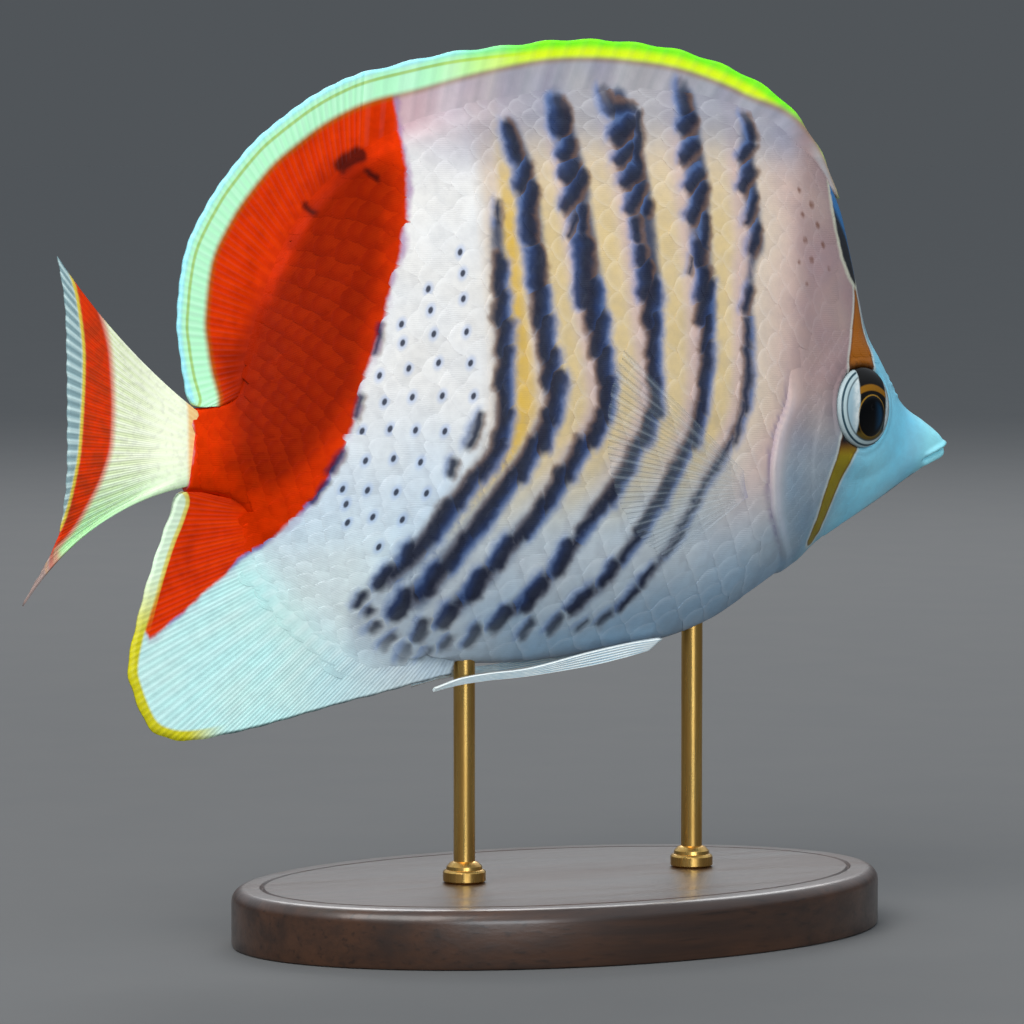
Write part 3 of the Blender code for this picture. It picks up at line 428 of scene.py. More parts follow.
def smoothstep(start, end, value):
    """0 up to start, 1 from end on, smooth between them. End may lie below start."""
    t = np.clip((np.asarray(value, float) - start) / (end - start), 0, 1)
    return t * t * (3 - 2 * t)


def between(value, low, full_low, full_high, high):
    """1 between the two inner marks, fading to 0 at the outer ones."""
    return smoothstep(low, full_low, value) * smoothstep(high, full_high, value)


def bump_at(value, centre, spread):
    return np.exp(-((value - centre) / spread) ** 2)


def spot_at(x, z, centre, spread):
    return np.exp(-((x - centre[0]) / spread[0]) ** 2 - ((z - centre[1]) / spread[1]) ** 2)


def unit(vectors):
    return vectors / np.maximum(np.linalg.norm(vectors, axis=-1, keepdims=True), 1e-9)


def along(points, count):
    """Points evenly spaced along a smooth line through the given ones."""
    p = np.array(points, float)
    p = np.vstack([2 * p[0] - p[1], p, 2 * p[-1] - p[-2]])
    t = np.linspace(0, 1, 40, endpoint=False)[:, None]
    runs = [0.5 * (2 * b + (c - a) * t + (2 * a - 5 * b + 4 * c - d) * t ** 2
                   + (3 * b - a - 3 * c + d) * t ** 3) for a, b, c, d in zip(p, p[1:], p[2:], p[3:])]
    line = np.vstack(runs + [p[-2:-1]])
    length = np.concatenate([[0], np.cumsum(np.linalg.norm(np.diff(line, axis=0), axis=1))])
    wanted = np.linspace(0, 1, count) * length[-1]
    return np.stack([np.interp(wanted, length, column) for column in line.T], axis=1)


def distance_to(x, z, line, count=260):
    """Distance of each place of the side view from a smooth line, taken at that many of its points."""
    nearest = np.full(x.shape, 99.0)
    for px, pz in along(line, count):
        nearest = np.minimum(nearest, np.hypot(x - px, z - pz))
    return nearest


def slopes_of(height, x, z):
    """How steeply a height over the side view climbs towards +X and upwards."""
    s = SLOPE_STEP
    return (height(x + s, z) - height(x - s, z)) / (2 * s), (height(x, z + s) - height(x, z - s)) / (2 * s)


# The body's shape

def back_and_belly(x):
    return smooth_through(BACK, x), smooth_through(BELLY, x)


def outside(x, z):
    """How far a place of the side view lies out of the body's outline."""
    top, bottom = back_and_belly(x)
    return np.maximum(z - top, bottom - z)


def gill_x(z):
    return smooth_through(GILL_EDGE, z)


def half_width(x, z, rounded=True):
    """Half the body's thickness in millimetres, with its edge rounded off or left sharp."""
    top, bottom = back_and_belly(x)
    level, widest = smooth_through(WIDEST_LEVEL, x), smooth_through(HALF_WIDTH, x)
    upper = z >= level
    half_height = np.where(upper, top - level, level - bottom)
    tau = np.clip(np.abs(z - level) / half_height, 0, 1)
    lens = np.where(upper, (1 - tau ** 1.8) ** 0.95, (1 - tau ** 2.1) ** 0.8)
    snout = smoothstep(SNOUT_START, SNOUT_FULL, x)
    keel = np.minimum(KEEL, widest)
    width = keel + (widest - keel) * (lens * (1 - snout) + np.sqrt(1 - tau ** 2) * snout)
    flat = smoothstep(ORBIT_FADE, ORBIT_FLAT, np.hypot(x - EYE_AT[0], z - EYE_AT[2]))
    orbit = EYE_AT[1] - EYE_TURN_FORWARD * (x - EYE_AT[0]) - EYE_TURN_UP * (z - EYE_AT[2])
    width = width * (1 - flat) + orbit * flat
    if not rounded:
        return width
    cap = np.clip((tau - (1 - keel / half_height)) / (keel / half_height), 0, 1)
    blunt = np.sqrt(np.clip(1 - cap ** 2, 0, 1))
    snout_cap = np.sqrt(np.clip(1 - tau ** 4, 0, 1))
    return width * (blunt * (1 - snout) + np.minimum(blunt, snout_cap) * snout)


def cover_relief(x, z):
    """The gill cover, lifted towards its free edge, and the step at the cheek's edge."""
    ahead, past = x - gill_x(z), x - smooth_through(CHEEK_EDGE, z)
    cover = GILL_SWELL * smoothstep(GILL_SWELL_LENGTH, 0, ahead) * smoothstep(-0.35, 0.15, ahead)
    cheek = CHEEK_STEP * between(past, -0.3, 0.25, 0.3, 4.0)
    return cover * between(z, *GILL_SWELL_SPAN) + cheek * between(z, 46.0, 48.5, 62.0, 65.5)


def eye_distance(x, z):
    """Distance from the eye's centre, measured on its slanting orbit."""
    return np.hypot((x - EYE_AT[0]) * math.hypot(1, EYE_TURN_FORWARD), z - EYE_AT[2])


def relief(x, z):
    """Small forms of the skin: gill cover, groove behind it, orbit, nostrils, lips and mouth."""
    groove = -0.12 * bump_at(x - gill_x(z), -0.45, 0.4) * between(z, 42.0, 47.0, 62.0, 70.0)
    from_eye = eye_distance(x, z)
    orbit = 0.22 * bump_at(from_eye, 5.45, 0.35) - 2.0 * smoothstep(4.95, 4.70, from_eye)
    share = (x - MOUTH_CORNER[0]) / (MOUTH_TIP[0] - MOUTH_CORNER[0])
    off = z - (MOUTH_CORNER[1] + (MOUTH_TIP[1] - MOUTH_CORNER[1]) * share)
    lips = 0.30 * bump_at(np.abs(off), 0.62, 0.34) - 0.75 * bump_at(off, 0.0, 0.17)
    forms = cover_relief(x, z) + groove + orbit + lips * smoothstep(-0.12, 0.12, share)
    for nx, nz in NOSTRILS:
        away = np.hypot(x - nx, z - nz)
        forms += 0.14 * bump_at(away, 0.55, 0.18) - 0.7 * bump_at(away, 0.0, 0.27)
    return forms


# Markings

def row_level(row):
    """Level of a row of scales: rows lie closer together towards the back and the belly."""
    up, down = np.clip(row - 9, 0, 19), np.clip(-row - 8, 0, 14)
    return 62.0 + 1.8 * row - 0.0227 * up ** 2 + 0.023 * down ** 2


def band_x(band, z):
    """Where a band, given as (z, x, half width), crosses a level."""
    return smooth_through([(level, x) for level, x, _ in band], z)


def band_half(band, z):
    return smooth_through([(level, half) for level, _, half in band], z)


def band_field(x, z, band, lowest=0.0, highest=120.0):
    """Distance inside a band between two levels."""
    start, end = max(band[-1][0], lowest), min(band[0][0], highest)
    levels = np.linspace(start, end, int((end - start) / 0.45) + 2)
    field = np.full(x.shape, OFF)
    for level, middle, half in zip(levels, band_x(band, levels), band_half(band, levels)):
        field = np.maximum(field, half - np.hypot(x - middle, z - level))
    return field


def stripe_blotches():
    """The slanting blotches of all stripes: both ends of each one's axis, and its half width."""
    jitter = np.random.default_rng(5)
    levels, *shapes = np.array(BLOTCH_SHAPES, float).T
    blotches = FREE_BLOTCHES + STRAY_BLOTCHES
    for line, (lowest, highest), strength in zip(STRIPES, STRIPE_MIDDLES, STRIPE_STRENGTHS):
        for z in row_level(np.arange(-10, 14, 2)):
            if not lowest - 0.5 < z < highest + 0.5:
                continue
            x = band_x(line, z) + 0.12 * jitter.standard_normal()
            slant, reach, share = [np.interp(z, levels, shape) for shape in shapes]
            slant += 0.12 * jitter.standard_normal()
            reach *= 1 + 0.15 * np.clip(jitter.standard_normal(), -1.5, 1.5)
            share *= strength * (1 + 0.10 * np.clip(jitter.standard_normal(), -1.5, 1.5))
            half = band_half(line, z) * share
            blotches.append((x - slant * reach, z - reach, x + slant * reach, z + reach, half))
    return blotches


BLOTCHES = stripe_blotches()


def blotch_field(x, z):
    """Distance inside the nearest blotch, and the offset from its axis, positive towards the head."""
    field, lean = np.full(x.shape, OFF), np.zeros(x.shape)
    for ax, az, bx, bz, half in BLOTCHES:
        near = (np.abs(x - ax) < 6) & (np.abs(z - az) < 8)
        px, pz, dx, dz = x[near] - ax, z[near] - az, bx - ax, bz - az
        share = np.clip((px * dx + pz * dz) / (dx * dx + dz * dz), 0, 1)
        inside = half - np.hypot(px - share * dx, pz - share * dz)
        nearer = inside > field[near]
        lean[near] = np.where(nearer, (px * dz - pz * dx) / math.hypot(dx, dz), lean[near])
        field[near] = np.where(nearer, inside, field[near])
    return field, lean


def known_blotches(seen):
    """The start, axis and half width of the blotches that reach furthest over each of the places."""
    b = np.array(BLOTCHES)
    start, axis = b[:, :2], b[:, 2:4] - b[:, :2]
    away = seen[:, None] - start
    share = np.clip((away * axis).sum(axis=-1) / (axis * axis).sum(axis=-1), 0, 1)
    inside = b[:, 4] - np.linalg.norm(away - share[..., None] * axis, axis=-1)
    nearest = np.argsort(-inside, axis=1)[:, :BLOTCHES_KNOWN]
    values = {}
    for k, pick in enumerate(nearest.T):
        values[f"blotch_start_{k}"] = np.insert(start[pick], 1, 0, axis=1)
        values[f"blotch_axis_{k}"] = np.insert(axis[pick], 1, 0, axis=1)
        values[f"blotch_half_{k}"] = b[pick, 4]
    return values


def polygon_field(x, z, outline):
    """Distance to a closed outline, positive inside it."""
    edge = np.array(outline, float)
    inside, nearest = np.zeros(x.shape, bool), np.full(x.shape, -OFF)
    for (ax, az), (bx, bz) in zip(edge, np.roll(edge, -1, axis=0)):
        px, pz, dx, dz = x - ax, z - az, bx - ax, bz - az
        share = np.clip((px * dx + pz * dz) / (dx * dx + dz * dz), 0, 1)
        nearest = np.minimum(nearest, np.hypot(px - share * dx, pz - share * dz))
        crosses = (az > z) != (bz > z)
        inside ^= crosses & (x < ax + dx * pz / (dz if dz else 1e-9))
    return np.where(inside, nearest, -nearest)


def freckle_field(x, z):
    return np.max([radius - np.hypot(x - fx, (z - fz) / 1.3) for fx, fz, radius in FRECKLES], axis=0)


def linear(colour):
    """Scene-linear value of a colour as seen."""
    c = np.asarray(colour, float)
    return np.where(c <= 0.04045, c / 12.92, ((np.maximum(c, 0) + 0.055) / 1.055) ** 2.4)


def layered(ground, layers):
    """A ground colour under one layer after another, each a colour and its share at every point."""
    for colour, share in layers:
        ground = np.asarray(ground) * (1 - share[..., None]) + np.asarray(colour) * share[..., None]
    return ground


def tone(x, z):
    """The body's ground colour before its stripes, red patch and eye band, with a painted shadow and a
    painted highlight at the gill cover's free edge.
    """
    top, bottom = back_and_belly(x)
    ahead = x - gill_x(z)
    lines = [band_x(line, z) for line in STRIPES]
    flank = layered(BEIGE, [(LOWER_FLANK, smoothstep(62, 47, z))])
    for k, (rear, front) in enumerate(zip(lines, lines[1:])):
        gold, richness, pinkness = (GOLD, 0.90, 0.3) if k == 0 else (OCHRE, 0.48, 1)
        within = (x > rear) & (x <= front)
        share = np.clip((x - rear) / (front - rear), 0, 1)
        yellow = between(share, 0.05, 0.3, 0.45, 0.75) * richness * smoothstep(46, 64, z)
        yellow = yellow * (1 - smoothstep(84, 97, z) * 0.7)
        pink = smoothstep(0.5, 0.8, share) * 0.75 * smoothstep(52, 66, z) * pinkness
        flank = layered(flank, [(gold, yellow * within), (PINK, pink * within)])
    face = layered(HEAD_MAUVE, [
        (CHEEK_GREY, smoothstep(68, 54, z)),
        (CHIN_BLUE, smoothstep(55, 46, z)),
        (SNOUT_BLUE, smoothstep(35.5, 42.5, x + (66 - z) * 0.28)),
        (CHEEK_BLUE, 0.62 * spot_at(x, z, (41.5, 55.5), (4.0, 4.5))),
        (LIP_BLUE, 0.8 * smoothstep(48.0, 52.5, x)),
    ])
    anal_fin = layered(ANAL_PALE, [(ANAL_GREY, 0.7 * smoothstep(-42, -22, x))])
    return layered(WHITE, [
        (COLD_WHITE, smoothstep(68, 46, z) * 0.9),
        (REAR_WHITE, smoothstep(56, 44, z) * smoothstep(-16, -30, x)),
        (flank, smoothstep(-1.5, 1.2, x - lines[0] + 1.5)),
        (PINK, smoothstep(1, 7, x - lines[-1]) * 0.8 * smoothstep(44, 62, z)),
        (MAUVE, smoothstep(7.5, 0, top - z) * smoothstep(-22, -8, x) * 0.75),
        (SLATE, smoothstep(13, 1, z - bottom) * smoothstep(-26, -2, x) * 0.9),
        (face, smoothstep(-1.0, 3.0, ahead)),
        (GILL_SHADOW, bump_at(ahead, -0.4, 0.32) * between(z, 44, 50, 64, 70) * 0.5),
        # painted highlight along the free edge of the gill cover
        (GILL_EDGE_HIGHLIGHT, bump_at(ahead, 0.7, 0.5) * between(z, 44, 50, 62, 68) * 0.35),
        (BACK_HAZE, 0.6 * spot_at(x, z, (-15, 102), (8, 6))),
        (BROW_GREY, smoothstep(0.7, 0.0, top - z) * smoothstep(34, 37, x) * 0.5),
        (anal_fin, smoothstep(-1.0, 8.0, bottom - z)),
    ])


def fields(x, z, blotches=True):
    """Every marking of the body at places of the side view, with the stripes' blotches if they are wanted."""
    wash, core, shade = np.full((3,) + x.shape, OFF)
    for line, foot, (_, highest), strength in zip(STRIPES, STRIPE_FEET, STRIPE_MIDDLES, STRIPE_STRENGTHS):
        narrow = [(level, middle, half * LINE_SHARE * strength) for level, middle, half in line]
        spine = [(level, middle + 0.35 * half, 0.6 * half) for level, middle, half in line]
        wash = np.maximum(wash, band_field(x, z, line, foot))
        core = np.maximum(core, band_field(x, z, narrow, foot, highest))
        shade = np.maximum(shade, band_field(x, z, spine, highest - 2.0))
    ground = linear(tone(x, z))
    values = {
        "wash": wash,
        "core": core,
        "shade": shade,
        "red": polygon_field(x, z, RED_PATCH),
        "umber": polygon_field(x, z, UMBER_PATCH),
        "band": band_field(x, z, EYE_BAND),
        "crown": band_field(x, z, CROWN_MARK),
        "freckle": freckle_field(x, z),
        "depth": -outside(x, z),
        "level": z,
        "tone": np.concatenate([ground, np.ones(ground.shape[:-1] + (1,))], axis=-1),
    }
    if blotches:
        values["stripe"], values["lean"] = blotch_field(x, z)
    return values


# Meshes

ATTRIBUTES = {1: ("FLOAT", "value"), 3: ("FLOAT_VECTOR", "vector"), 4: ("FLOAT_COLOR", "color")}


def mesh_piece(name, points, faces, values=None, smooth_angle=None):
    """A mesh object from points in millimetres and groups of faces, with one attribute for each value."""
    mesh = bpy.data.meshes.new(name)
    mesh.vertices.add(len(points))
    mesh.vertices.foreach_set("co", (points * MM).astype(np.float32).ravel())
    loops = np.concatenate([group.ravel() for group in faces])
    sizes = np.concatenate([np.full(len(group), group.shape[1]) for group in faces])
    mesh.loops.add(len(loops))
    mesh.loops.foreach_set("vertex_index", loops.astype(np.int32))
    mesh.polygons.add(len(sizes))
    mesh.polygons.foreach_set("loop_start", (np.cumsum(sizes) - sizes).astype(np.int32))
    for key, value in (values or {}).items():
        kind, item = ATTRIBUTES[value.size // len(points)]
        mesh.attributes.new(key, kind, "POINT").data.foreach_set(item, value.astype(np.float32).ravel())
    mesh.update(calc_edges=True)
    mesh.validate()
    mesh.shade_smooth()
    if smooth_angle:
        mesh.set_sharp_from_angle(angle=math.radians(smooth_angle))
    piece = bpy.data.objects.new(name, mesh)
    bpy.context.scene.collection.objects.link(piece)
    return piece


def grid_faces(rows, columns, wrap=False, start=0):
    r, c = np.meshgrid(np.arange(rows - 1), np.arange(columns if wrap else columns - 1), indexing="ij")
    a = r * columns + c
    b = r * columns + (c + 1) % columns
    return (start + np.stack([a, b, b + columns, a + columns], axis=-1)).reshape(-1, 4)


def grid_normals(grid, wrap=False):
    """Unit normals of a grid of points, rows by columns."""
    down = np.gradient(grid, axis=0)
    if wrap:
        across = (np.roll(grid, -1, axis=1) - np.roll(grid, 1, axis=1)) / 2
    else:
        across = np.gradient(grid, axis=1)
    return unit(np.cross(down, across))


def closed_tube(rings, start, end):
    """Points and faces of a tube of rings, closed by one point at each end."""
    count, around = rings.shape[:2]
    ring, first, last = np.arange(around), np.full(around, count * around), (count - 1) * around
    after = np.roll(ring, -1)
    ends = [np.stack([after, ring, first], axis=1), np.stack([last + ring, last + after, first + 1], axis=1)]
    return np.vstack([rings.reshape(-1, 3), start, end]), [grid_faces(count, around, wrap=True)] + ends


def border(rows, columns):
    """The points around a grid's edge, in order."""
    index = np.arange(rows * columns).reshape(rows, columns)
    return np.concatenate([index[0], index[1:, -1], index[-1, -2::-1], index[-2:0:-1, 0]])


def rim_faces(loop, lower):
    """Faces between a closed loop of points and the loop below it."""
    return np.stack([loop, lower, np.roll(lower, -1), np.roll(loop, -1)], axis=1)


# Materials

class Value:
    """A value among a material's nodes, added, subtracted and multiplied like a number."""

    def __init__(self, nodes, socket):
        self.nodes, self.socket = nodes, socket

    def __add__(self, other):
        return self.nodes.math("ADD", self, other)

    def __sub__(self, other):
        return self.nodes.math("SUBTRACT", self, other)

    def __rsub__(self, other):
        return self.nodes.math("SUBTRACT", other, self)

    def __mul__(self, other):
        return self.nodes.math("MULTIPLY", self, other)


class Nodes:
    """Short ways to add shader nodes to one material."""

    def __init__(self, name):
        self.material = bpy.data.materials.new(name)
        self.material.use_nodes = True
        self.tree = self.material.node_tree

    def join(self, socket, value):
        """Links a value to a socket, or sets the socket to a number, a vector or a colour as seen."""
        if isinstance(value, Value):
            self.tree.links.new(value.socket, socket)
        elif socket.type == "RGBA":
            socket.default_value = (*linear(value), 1)
        else:
            socket.default_value = value

    def node(self, kind, output, inputs=(), **settings):
        """Adds a node and gives one of its outputs. Inputs are listed in order or under their names."""
        node = self.tree.nodes.new("ShaderNode" + kind)
        for key, setting in settings.items():
            setattr(node, key, setting)
        for key, value in inputs.items() if isinstance(inputs, dict) else enumerate(inputs):
            self.join(node.inputs[key], value)
        return Value(self, node.outputs[output])

    def value(self, name, output="Fac"):
        return self.node("Attribute", output, attribute_name=name)

    def place(self):
        return self.node("TexCoord", "Object")

    def vector(self, operation, *inputs):
        output = "Value" if operation in ("DOT_PRODUCT", "DISTANCE") else "Vector"
        return self.node("VectorMath", output, inputs, operation=operation)

    def math(self, operation, *inputs, clamp=False):
        return self.node("Math", 0, inputs, operation=operation, use_clamp=clamp)

    def ramp(self, value, low, high, to_low=0.0, to_high=1.0):
        """A smooth step of the value from low to high."""
        return self.node("MapRange", 0, (value, low, high, to_low, to_high), interpolation_type="SMOOTHSTEP")

    def mix(self, share, a, b, kind="MIX"):
        return self.node("Mix", 2, {0: share, 6: a, 7: b}, data_type="RGBA", blend_type=kind)

    def layers(self, ground, layers):
        """A ground colour under one layer after another, each a colour and its share."""
        for colour, share in layers:
            ground = self.mix(share, ground, colour)
        return ground

    def noise(self, scale, detail=3.0, stretch=(1, 1, 1), roughness=0.55):
        place = self.node("Mapping", "Vector", {"Vector": self.place(), "Scale": stretch})
        inputs = {"Vector": place, "Scale": scale, "Detail": detail, "Roughness": roughness}
        return self.node("TexNoise", "Fac", inputs)

    def waver(self):
        """A small offset in millimetres that makes drawn edges waver."""
        noise = self.node("TexNoise", "Color", {"Vector": self.place(), "Scale": 420, "Detail": 2})
        return self.vector("MULTIPLY", self.vector("SUBTRACT", noise, (0.5, 0.5, 0.5)), (1.5, 0, 1.5))

    def wave(self, name, rate):
        return self.math("SINE", self.value(name) * rate)

    def bump(self, height, distance, strength):
        inputs = {"Strength": strength, "Distance": distance * MM, "Height": height}
        return self.node("Bump", "Normal", inputs)

    def finish(self, **inputs):
        shader = self.tree.nodes["Principled BSDF"]
        for key, value in inputs.items():
            self.join(shader.inputs[key.replace("_", " ")], value)
        return self.material


def near_blotches(n):
    """Distance inside the nearest of the blotches that each scale knows, and the offset from its axis."""
    place = n.vector("MULTIPLY_ADD", n.place(), (1000, 0, 1000), n.waver())
    field = lean = None
    for k in range(BLOTCHES_KNOWN):
        start, axis = n.value(f"blotch_start_{k}", "Vector"), n.value(f"blotch_axis_{k}", "Vector")
        away = n.vector("SUBTRACT", place, start)
        along_axis, length = n.vector("DOT_PRODUCT", away, axis), n.vector("DOT_PRODUCT", axis, axis)
        share = n.math("DIVIDE", along_axis, length, clamp=True)
        inside = n.value(f"blotch_half_{k}") - n.vector("DISTANCE", away, n.vector("MULTIPLY", axis, share))
        sideways = n.vector("NORMALIZE", n.vector("CROSS_PRODUCT", (0, 1, 0), axis))
        across = n.vector("DOT_PRODUCT", away, sideways)
        if field is None:
            field, lean = inside, across
        else:
            lean = lean + n.math("GREATER_THAN", inside, field) * (across - lean)
            field = n.math("MAXIMUM", field, inside)
    return field, lean


def body_colour(n, scaled):
    """Ground colour, then stripes, dots, red patch, eye band and crown mark, each from its own field."""
    fine = n.noise(700, 3)
    ragged = (fine - 0.5) * 0.6
    stripe, lean = near_blotches(n) if scaled else (n.value("stripe"), n.value("lean"))
    stripe = n.math("MAXIMUM", stripe, n.value("core") - n.ramp(n.value("level"), 44.0, 52.0, 0.34, 0.0))
    stripe = stripe + ragged * 0.6
    layers = ground_layers(n, fine, scaled) + stripe_layers(n, fine, ragged, stripe, lean, scaled)
    if scaled:
        layers += dot_layers(n)
    layers += red_layers(n, fine, ragged, stripe, scaled) + head_layers(n, ragged)
    return n.layers(n.value("tone", "Color"), layers)


def ground_layers(n, fine, scaled):
    """Mottled skin, a painted highlight on its scales' rear rims, painted shade at their roots where the
    scale ahead overlaps them, and a haze at the red patch's upper end.
    """
    layers = [
        (CREAM_MOTTLE, n.ramp(n.noise(120, 1), 0.35, 0.7, 0.0, 0.12)),
        (GREY_SPECKS, n.ramp(fine, 0.3, 0.75, 0.0, 0.14)),
    ]
    if scaled:
        scale_shading = n.value("scale_shading")
        # painted highlight on each scale's free rear rim
        layers.append((SCALE_RIM_HIGHLIGHT, n.ramp(n.value("rim"), 0.6, 1.0) * scale_shading))
        # painted shade at each scale's root, where the scale ahead overlaps it
        layers.append((SCALE_ROOT_SHADOW, n.ramp(n.value("su"), -0.1, -0.9) * scale_shading))
    haze = n.ramp(n.value("red"), -8.9, 0.0) * n.ramp(n.value("depth"), 3.5, -3.0)
    return layers + [(ROSE_HAZE, haze * n.ramp(n.value("level"), 94.0, 98.0) * 0.6)]


def stripe_layers(n, fine, ragged, stripe, lean, scaled):
    """A soft wash under each stripe, then its dark blotches, blue in front and brown behind."""
    level = n.value("level")
    wash = n.value("wash") + ragged
    shade = n.value("shade") + (n.noise(330, 2) - 0.5) * 1.5
    layers = [
        (STRIPE_WASH, n.ramp(wash, -0.9, 0.4, 0.0, 0.60)),
        (STRIPE_CORE, n.ramp(wash, -0.4, 0.9, 0.0, 0.60)),
        (STRIPE_SHADE, n.ramp(shade, -0.85, 0.7, 0.0, 0.85)),
        (STRIPE_BLUE, n.ramp(stripe, -1.2, 0.2) * n.ramp(lean, 0.1, 0.9) * 0.6),
    ]
    if scaled:
        warm = n.ramp(stripe, -0.8, 0.0) * n.ramp(lean, -0.1, -0.7)
        layers.append((STRIPE_BROWN, warm * n.ramp(level, 46.0, 62.0, 0.15, 0.6)))
    ink = n.layers(STRIPE_INK, [
        (STRIPE_NAVY, n.ramp(lean, -0.3, 1.1)),
        (STRIPE_SPECKS, n.ramp(fine, 0.35, 0.7, 0.0, 0.2)),
    ])
    strength = n.ramp(n.value("depth"), -3.5, 1.5, 0.50, 0.96) * n.ramp(level, 33.5, 41.0, 0.72, 1.0)
    return layers + [(ink, n.ramp(stripe, -0.56, 0.50) * strength)]


def dot_layers(n):
    """Small dark dots, each with a blue halo and lying aslant."""
    up = n.value("dot_z")
    ahead = n.value("dot_x") - up * 0.25
    away = n.math("SQRT", ahead * ahead * 1.5 + up * up * 0.8)
    return [(DOT_HALO, n.ramp(away, 1.1, 0.40, 0.0, 0.35)), (STRIPE_INK, n.ramp(away, 0.50, 0.24, 0.0, 0.92))]


def red_layers(n, fine, ragged, stripe, scaled):
    """The red patch with its violet rim, dark mottling, blue hem and the smudges of blotches in it."""
    level, inside = n.value("level"), n.value("red")
    red = (inside * 0.8 + n.value("red_own") * 0.2 if scaled else inside) + ragged
    teeth = inside + (n.noise(380, 2) - 0.5) * 2.4
    umber = n.value("umber") + (n.noise(150, 3) - 0.5) * 5.0
    crimson = [
        (DEEP_RED, n.ramp(umber, -2.2, 2.8, 0.0, 0.85)),
        (RED_SPECKS, n.ramp(fine, 0.35, 0.75, 0.0, 0.16)),
        (RED_MOTTLE, n.ramp(n.noise(210, 3), 0.45, 0.72, 0.0, 0.30)),
    ]
    if scaled:
        rim, inland = n.value("rim"), n.ramp(n.value("depth"), -2.0, 4.0)
        crimson.append((RED_SCALE_MIDDLE, n.ramp(rim, 0.75, 0.10, 0.0, 0.10) * inland))
        crimson.append((RED_SCALE_EDGE, n.ramp(rim, 0.50, 1.1, 0.0, 0.10) * inland))
    hem = n.ramp(red, -0.5, -0.1) * n.ramp(red, 0.3, 0.0) * n.ramp(level, 62.0, 56.0)
    smudge = n.ramp(stripe, -0.55, 0.35) * n.ramp(inside, -0.9, 0.0)
    return [
        (RED_RIM, n.ramp(teeth, -0.9, 0.1) * n.ramp(level, 68.0, 84.0, 0.35, 0.75)),
        (n.layers(RED, crimson), n.ramp(red, -0.30, 0.25)),
        (HEM_BLUE, hem * n.ramp(n.noise(160, 1), 0.4, 0.6, 0.0, 0.6)),
        (n.mix(n.ramp(inside, 2.5, 1.0), SMUDGE_DARK, SMUDGE_BLUE), smudge * 0.8),
    ]


def head_layers(n, ragged):
    """The band through the eye, brown below and dark beside the eye, the blue crown mark and the freckles."""
    level, band = n.value("level"), n.value("band")
    brown = n.layers(BAND_OLIVE, [
        (BAND_BROWN, n.ramp(level, 57.0, 60.0)),
        (INK, n.ramp(level, 67.5, 69.5, 1.0, 0.0) * n.ramp(level, 57.6, 59.5)),
        (BAND_DARK_EDGE, n.ramp(band, 0.05, 0.45, 0.55, 0.0)),
    ])
    crown = n.value("crown") + ragged
    return [
        (BAND_PALE_EDGE, n.ramp(band, -0.55, -0.1, 0.0, 0.55)),
        (brown, n.ramp(band + ragged * 0.4, -0.12, 0.15)),
        (CROWN_EDGE, n.ramp(crown, -0.8, -0.2, 0.0, 0.6)),
        (n.mix(n.ramp(n.value("depth"), 4.8, 2.6), CROWN_NAVY, CROWN_BLUE), n.ramp(crown, -0.2, 0.3)),
        (FRECKLE_BROWN, n.ramp(n.value("freckle"), -0.15, 0.25, 0.0, 0.75)),
    ]


def skin_material():
    n = Nodes("fish_skin")
    grain = n.noise(1800, 2)
    return n.finish(
        Base_Color=body_colour(n, scaled=False),
        Roughness=n.ramp(grain, 0.3, 0.8, 0.36, 0.5),
        Normal=n.bump(grain, 0.05, 0.5),
        Specular_IOR_Level=n.ramp(n.value("red"), -0.3, 0.3, 0.4, 0.03),
    )


@cache
def scale_material():
    n = Nodes("fish_scales")
    grain = n.noise(1500, 2)
    return n.finish(
        Base_Color=n.mix(n.value("own"), body_colour(n, scaled=True), SCALE_VARIETY, "MULTIPLY"),
        Roughness=n.ramp(grain, 0.3, 0.8, 0.40, 0.55),
        Normal=n.bump(n.wave("sv", 26.0) * 0.3 + grain, 0.03, 0.4),
        Specular_IOR_Level=n.ramp(n.value("red"), -0.3, 0.3, 0.35, 0.03),
    )


@cache
def fin_material(name, paint, clear=None):
    """A fin's membrane and rays. paint(nodes) gives its colour, clear(nodes) how solid it is."""
    n = Nodes(name)
    colour = n.mix(n.ramp(n.value("ray"), 0.3, 1.0, 0.0, 0.3), paint(n), RAY_SHEEN, "SOFT_LIGHT")
    lines = n.wave("fan", FIN_LINES * 2 * math.pi) * n.ramp(n.value("share"), 0.15, 0.5)
    grain = n.noise(1800, 3) + (n.value("joint") * 0.6 + lines)
    return n.finish(
        Base_Color=n.mix(n.ramp(lines, 0.0, 1.0, 0.0, 0.07), colour, MEMBRANE_LINE),
        Roughness=0.46,
        Normal=n.bump(grain, 0.03, 0.4),
        Specular_IOR_Level=n.ramp(n.value("red"), 0.0, 0.4, 0.35, 0.04),
        Alpha=clear(n) if clear else 1.0,
    )


def dorsal_paint(n):
    edge, ahead = n.value("edge"), n.value("ahead")
    front = n.ramp(ahead, -20.0, -2.0)
    line = n.ramp(edge, 1.0, 1.2) * n.ramp(edge, 1.6, 1.35)
    mint = n.layers(MINT, [(DORSAL_LINE, line * 0.75), (DORSAL_HEM, n.ramp(edge, 0.9, 0.2))])
    lime = n.mix(n.ramp(edge, 0.5, 1.6), LIME, YELLOW)
    past = edge - (front * -1.3 + 3.5 - n.ramp(ahead, 25.0, 36.0, 0.0, 2.3))
    return n.layers(body_colour(n, scaled=False), [
        (DORSAL_OCHRE, n.ramp(past, 1.0, 0.1) * 0.6),
        (n.mix(front, mint, lime), n.ramp(past, 0.45, -0.45)),
    ])


